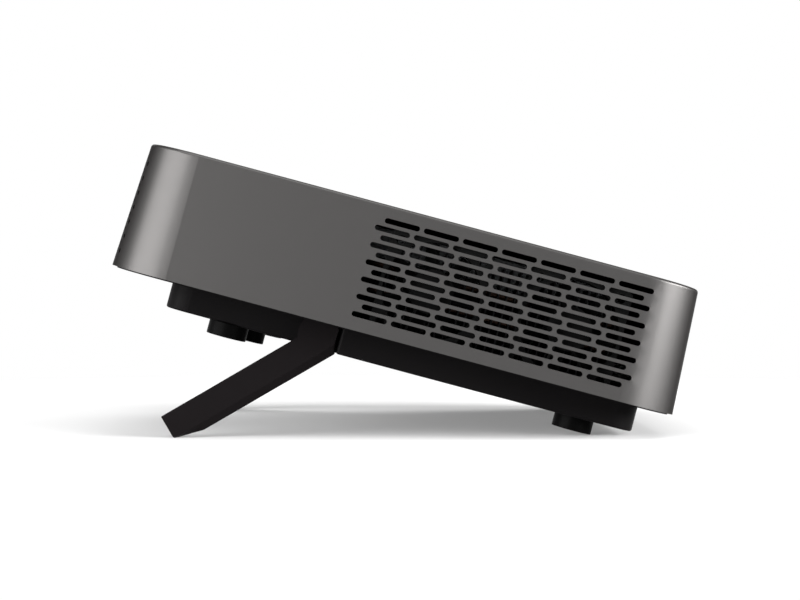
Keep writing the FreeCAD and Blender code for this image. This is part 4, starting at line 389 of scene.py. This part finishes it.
def floor_white():
    """Pale floor that keeps the shadow near the object and fades to the backdrop's white away from it."""
    material = new_material("floor_white", FLOOR_COLOUR, 0.0, 0.9, 0.0)
    tree = material.node_tree
    reach = tree.nodes.new("ShaderNodeVectorMath")
    reach.operation = "LENGTH"
    tree.links.new(object_place(material), reach.inputs[0])
    fade = add_node(material, "ShaderNodeMapRange")
    fade.inputs["From Min"].default_value = FLOOR_FADE_START
    fade.inputs["From Max"].default_value = FLOOR_FADE_END
    fade.inputs["To Min"].default_value = FLOOR_NEAR_WHITE
    tree.links.new(reach.outputs["Value"], fade.inputs["Value"])
    share = tree.nodes.new("ShaderNodeMath")
    share.operation = "MULTIPLY"
    tree.links.new(fade.outputs["Result"], share.inputs[0])
    tree.links.new(seen_directly(tree), share.inputs[1])
    white = add_node(material, "ShaderNodeEmission", Strength=1.0)
    mix = tree.nodes.new("ShaderNodeMixShader")
    tree.links.new(share.outputs["Value"], mix.inputs[0])
    tree.links.new(shader_of(material).outputs["BSDF"], mix.inputs[1])
    tree.links.new(white.outputs["Emission"], mix.inputs[2])
    tree.links.new(mix.outputs["Shader"], tree.nodes["Material Output"].inputs["Surface"])
    return material


def add_floor():
    """Flat floor, which is scenery and not part of the object."""
    mesh = bpy.data.meshes.new("floor")
    half = FLOOR_SIZE / 2
    corners = [(-half, -half, 0), (half, -half, 0), (half, half, 0), (-half, half, 0)]
    mesh.from_pydata(corners, [], [(0, 1, 2, 3)])
    floor = bpy.data.objects.new("floor", mesh)
    bpy.context.collection.objects.link(floor)
    mesh.materials.append(floor_white())


def add_world():
    """White where it is seen, also in metal and glass, and a plain grey light for everything else."""
    world = bpy.data.worlds.new("studio")
    bpy.context.scene.world = world
    world.use_nodes = True
    tree = world.node_tree
    tree.nodes.clear()
    output = tree.nodes.new("ShaderNodeOutputWorld")
    seen = tree.nodes.new("ShaderNodeBackground")
    seen.inputs["Strength"].default_value = WORLD_SEEN
    seen.inputs["Color"].default_value = WHITE
    light = tree.nodes.new("ShaderNodeBackground")
    light.inputs["Strength"].default_value = WORLD_LIGHT
    light.inputs["Color"].default_value = WHITE
    mix = tree.nodes.new("ShaderNodeMixShader")
    tree.links.new(seen_directly(tree), mix.inputs[0])
    tree.links.new(light.outputs[0], mix.inputs[1])
    tree.links.new(seen.outputs[0], mix.inputs[2])
    tree.links.new(mix.outputs[0], output.inputs["Surface"])


def add_softbox(name, place, width, height, power):
    """Rectangular area light that faces the object."""
    data = bpy.data.lights.new(name, "AREA")
    data.shape = "RECTANGLE"
    data.size = width
    data.size_y = height
    data.energy = power
    box = bpy.data.objects.new(name, data)
    box.visible_camera = False
    box.location = place
    box.rotation_euler = (Vector(LIT_POINT) - Vector(place)).to_track_quat("-Z", "Y").to_euler()
    bpy.context.collection.objects.link(box)


def add_lights():
    """A softbox on each side, which the rounded corners show, one overhead and one behind."""
    add_softbox("left_box", **LEFT_BOX)
    add_softbox("right_box", **RIGHT_BOX)
    add_softbox("top_box", **TOP_BOX)
    add_softbox("back_box", **BACK_BOX)


def add_camera():
    """Level camera, square on to the air grille's side."""
    data = bpy.data.cameras.new("camera")
    data.lens = FOCAL_LENGTH_MM
    data.sensor_width = SENSOR_WIDTH_MM
    data.sensor_fit = "HORIZONTAL"
    camera = bpy.data.objects.new("camera", data)
    camera.location = CAMERA_PLACE
    camera.rotation_euler = (math.radians(90), 0, 0)
    bpy.context.collection.objects.link(camera)
    bpy.context.scene.camera = camera


def main():
    """Studio, then the materials of the CAD nodes, then the added pieces."""
    bpy.context.scene.view_settings.view_transform = "Standard"
    add_camera()
    add_world()
    add_floor()
    add_lights()
    materials = all_materials()
    dress_nodes(materials)
    dust_screen(materials)


main()
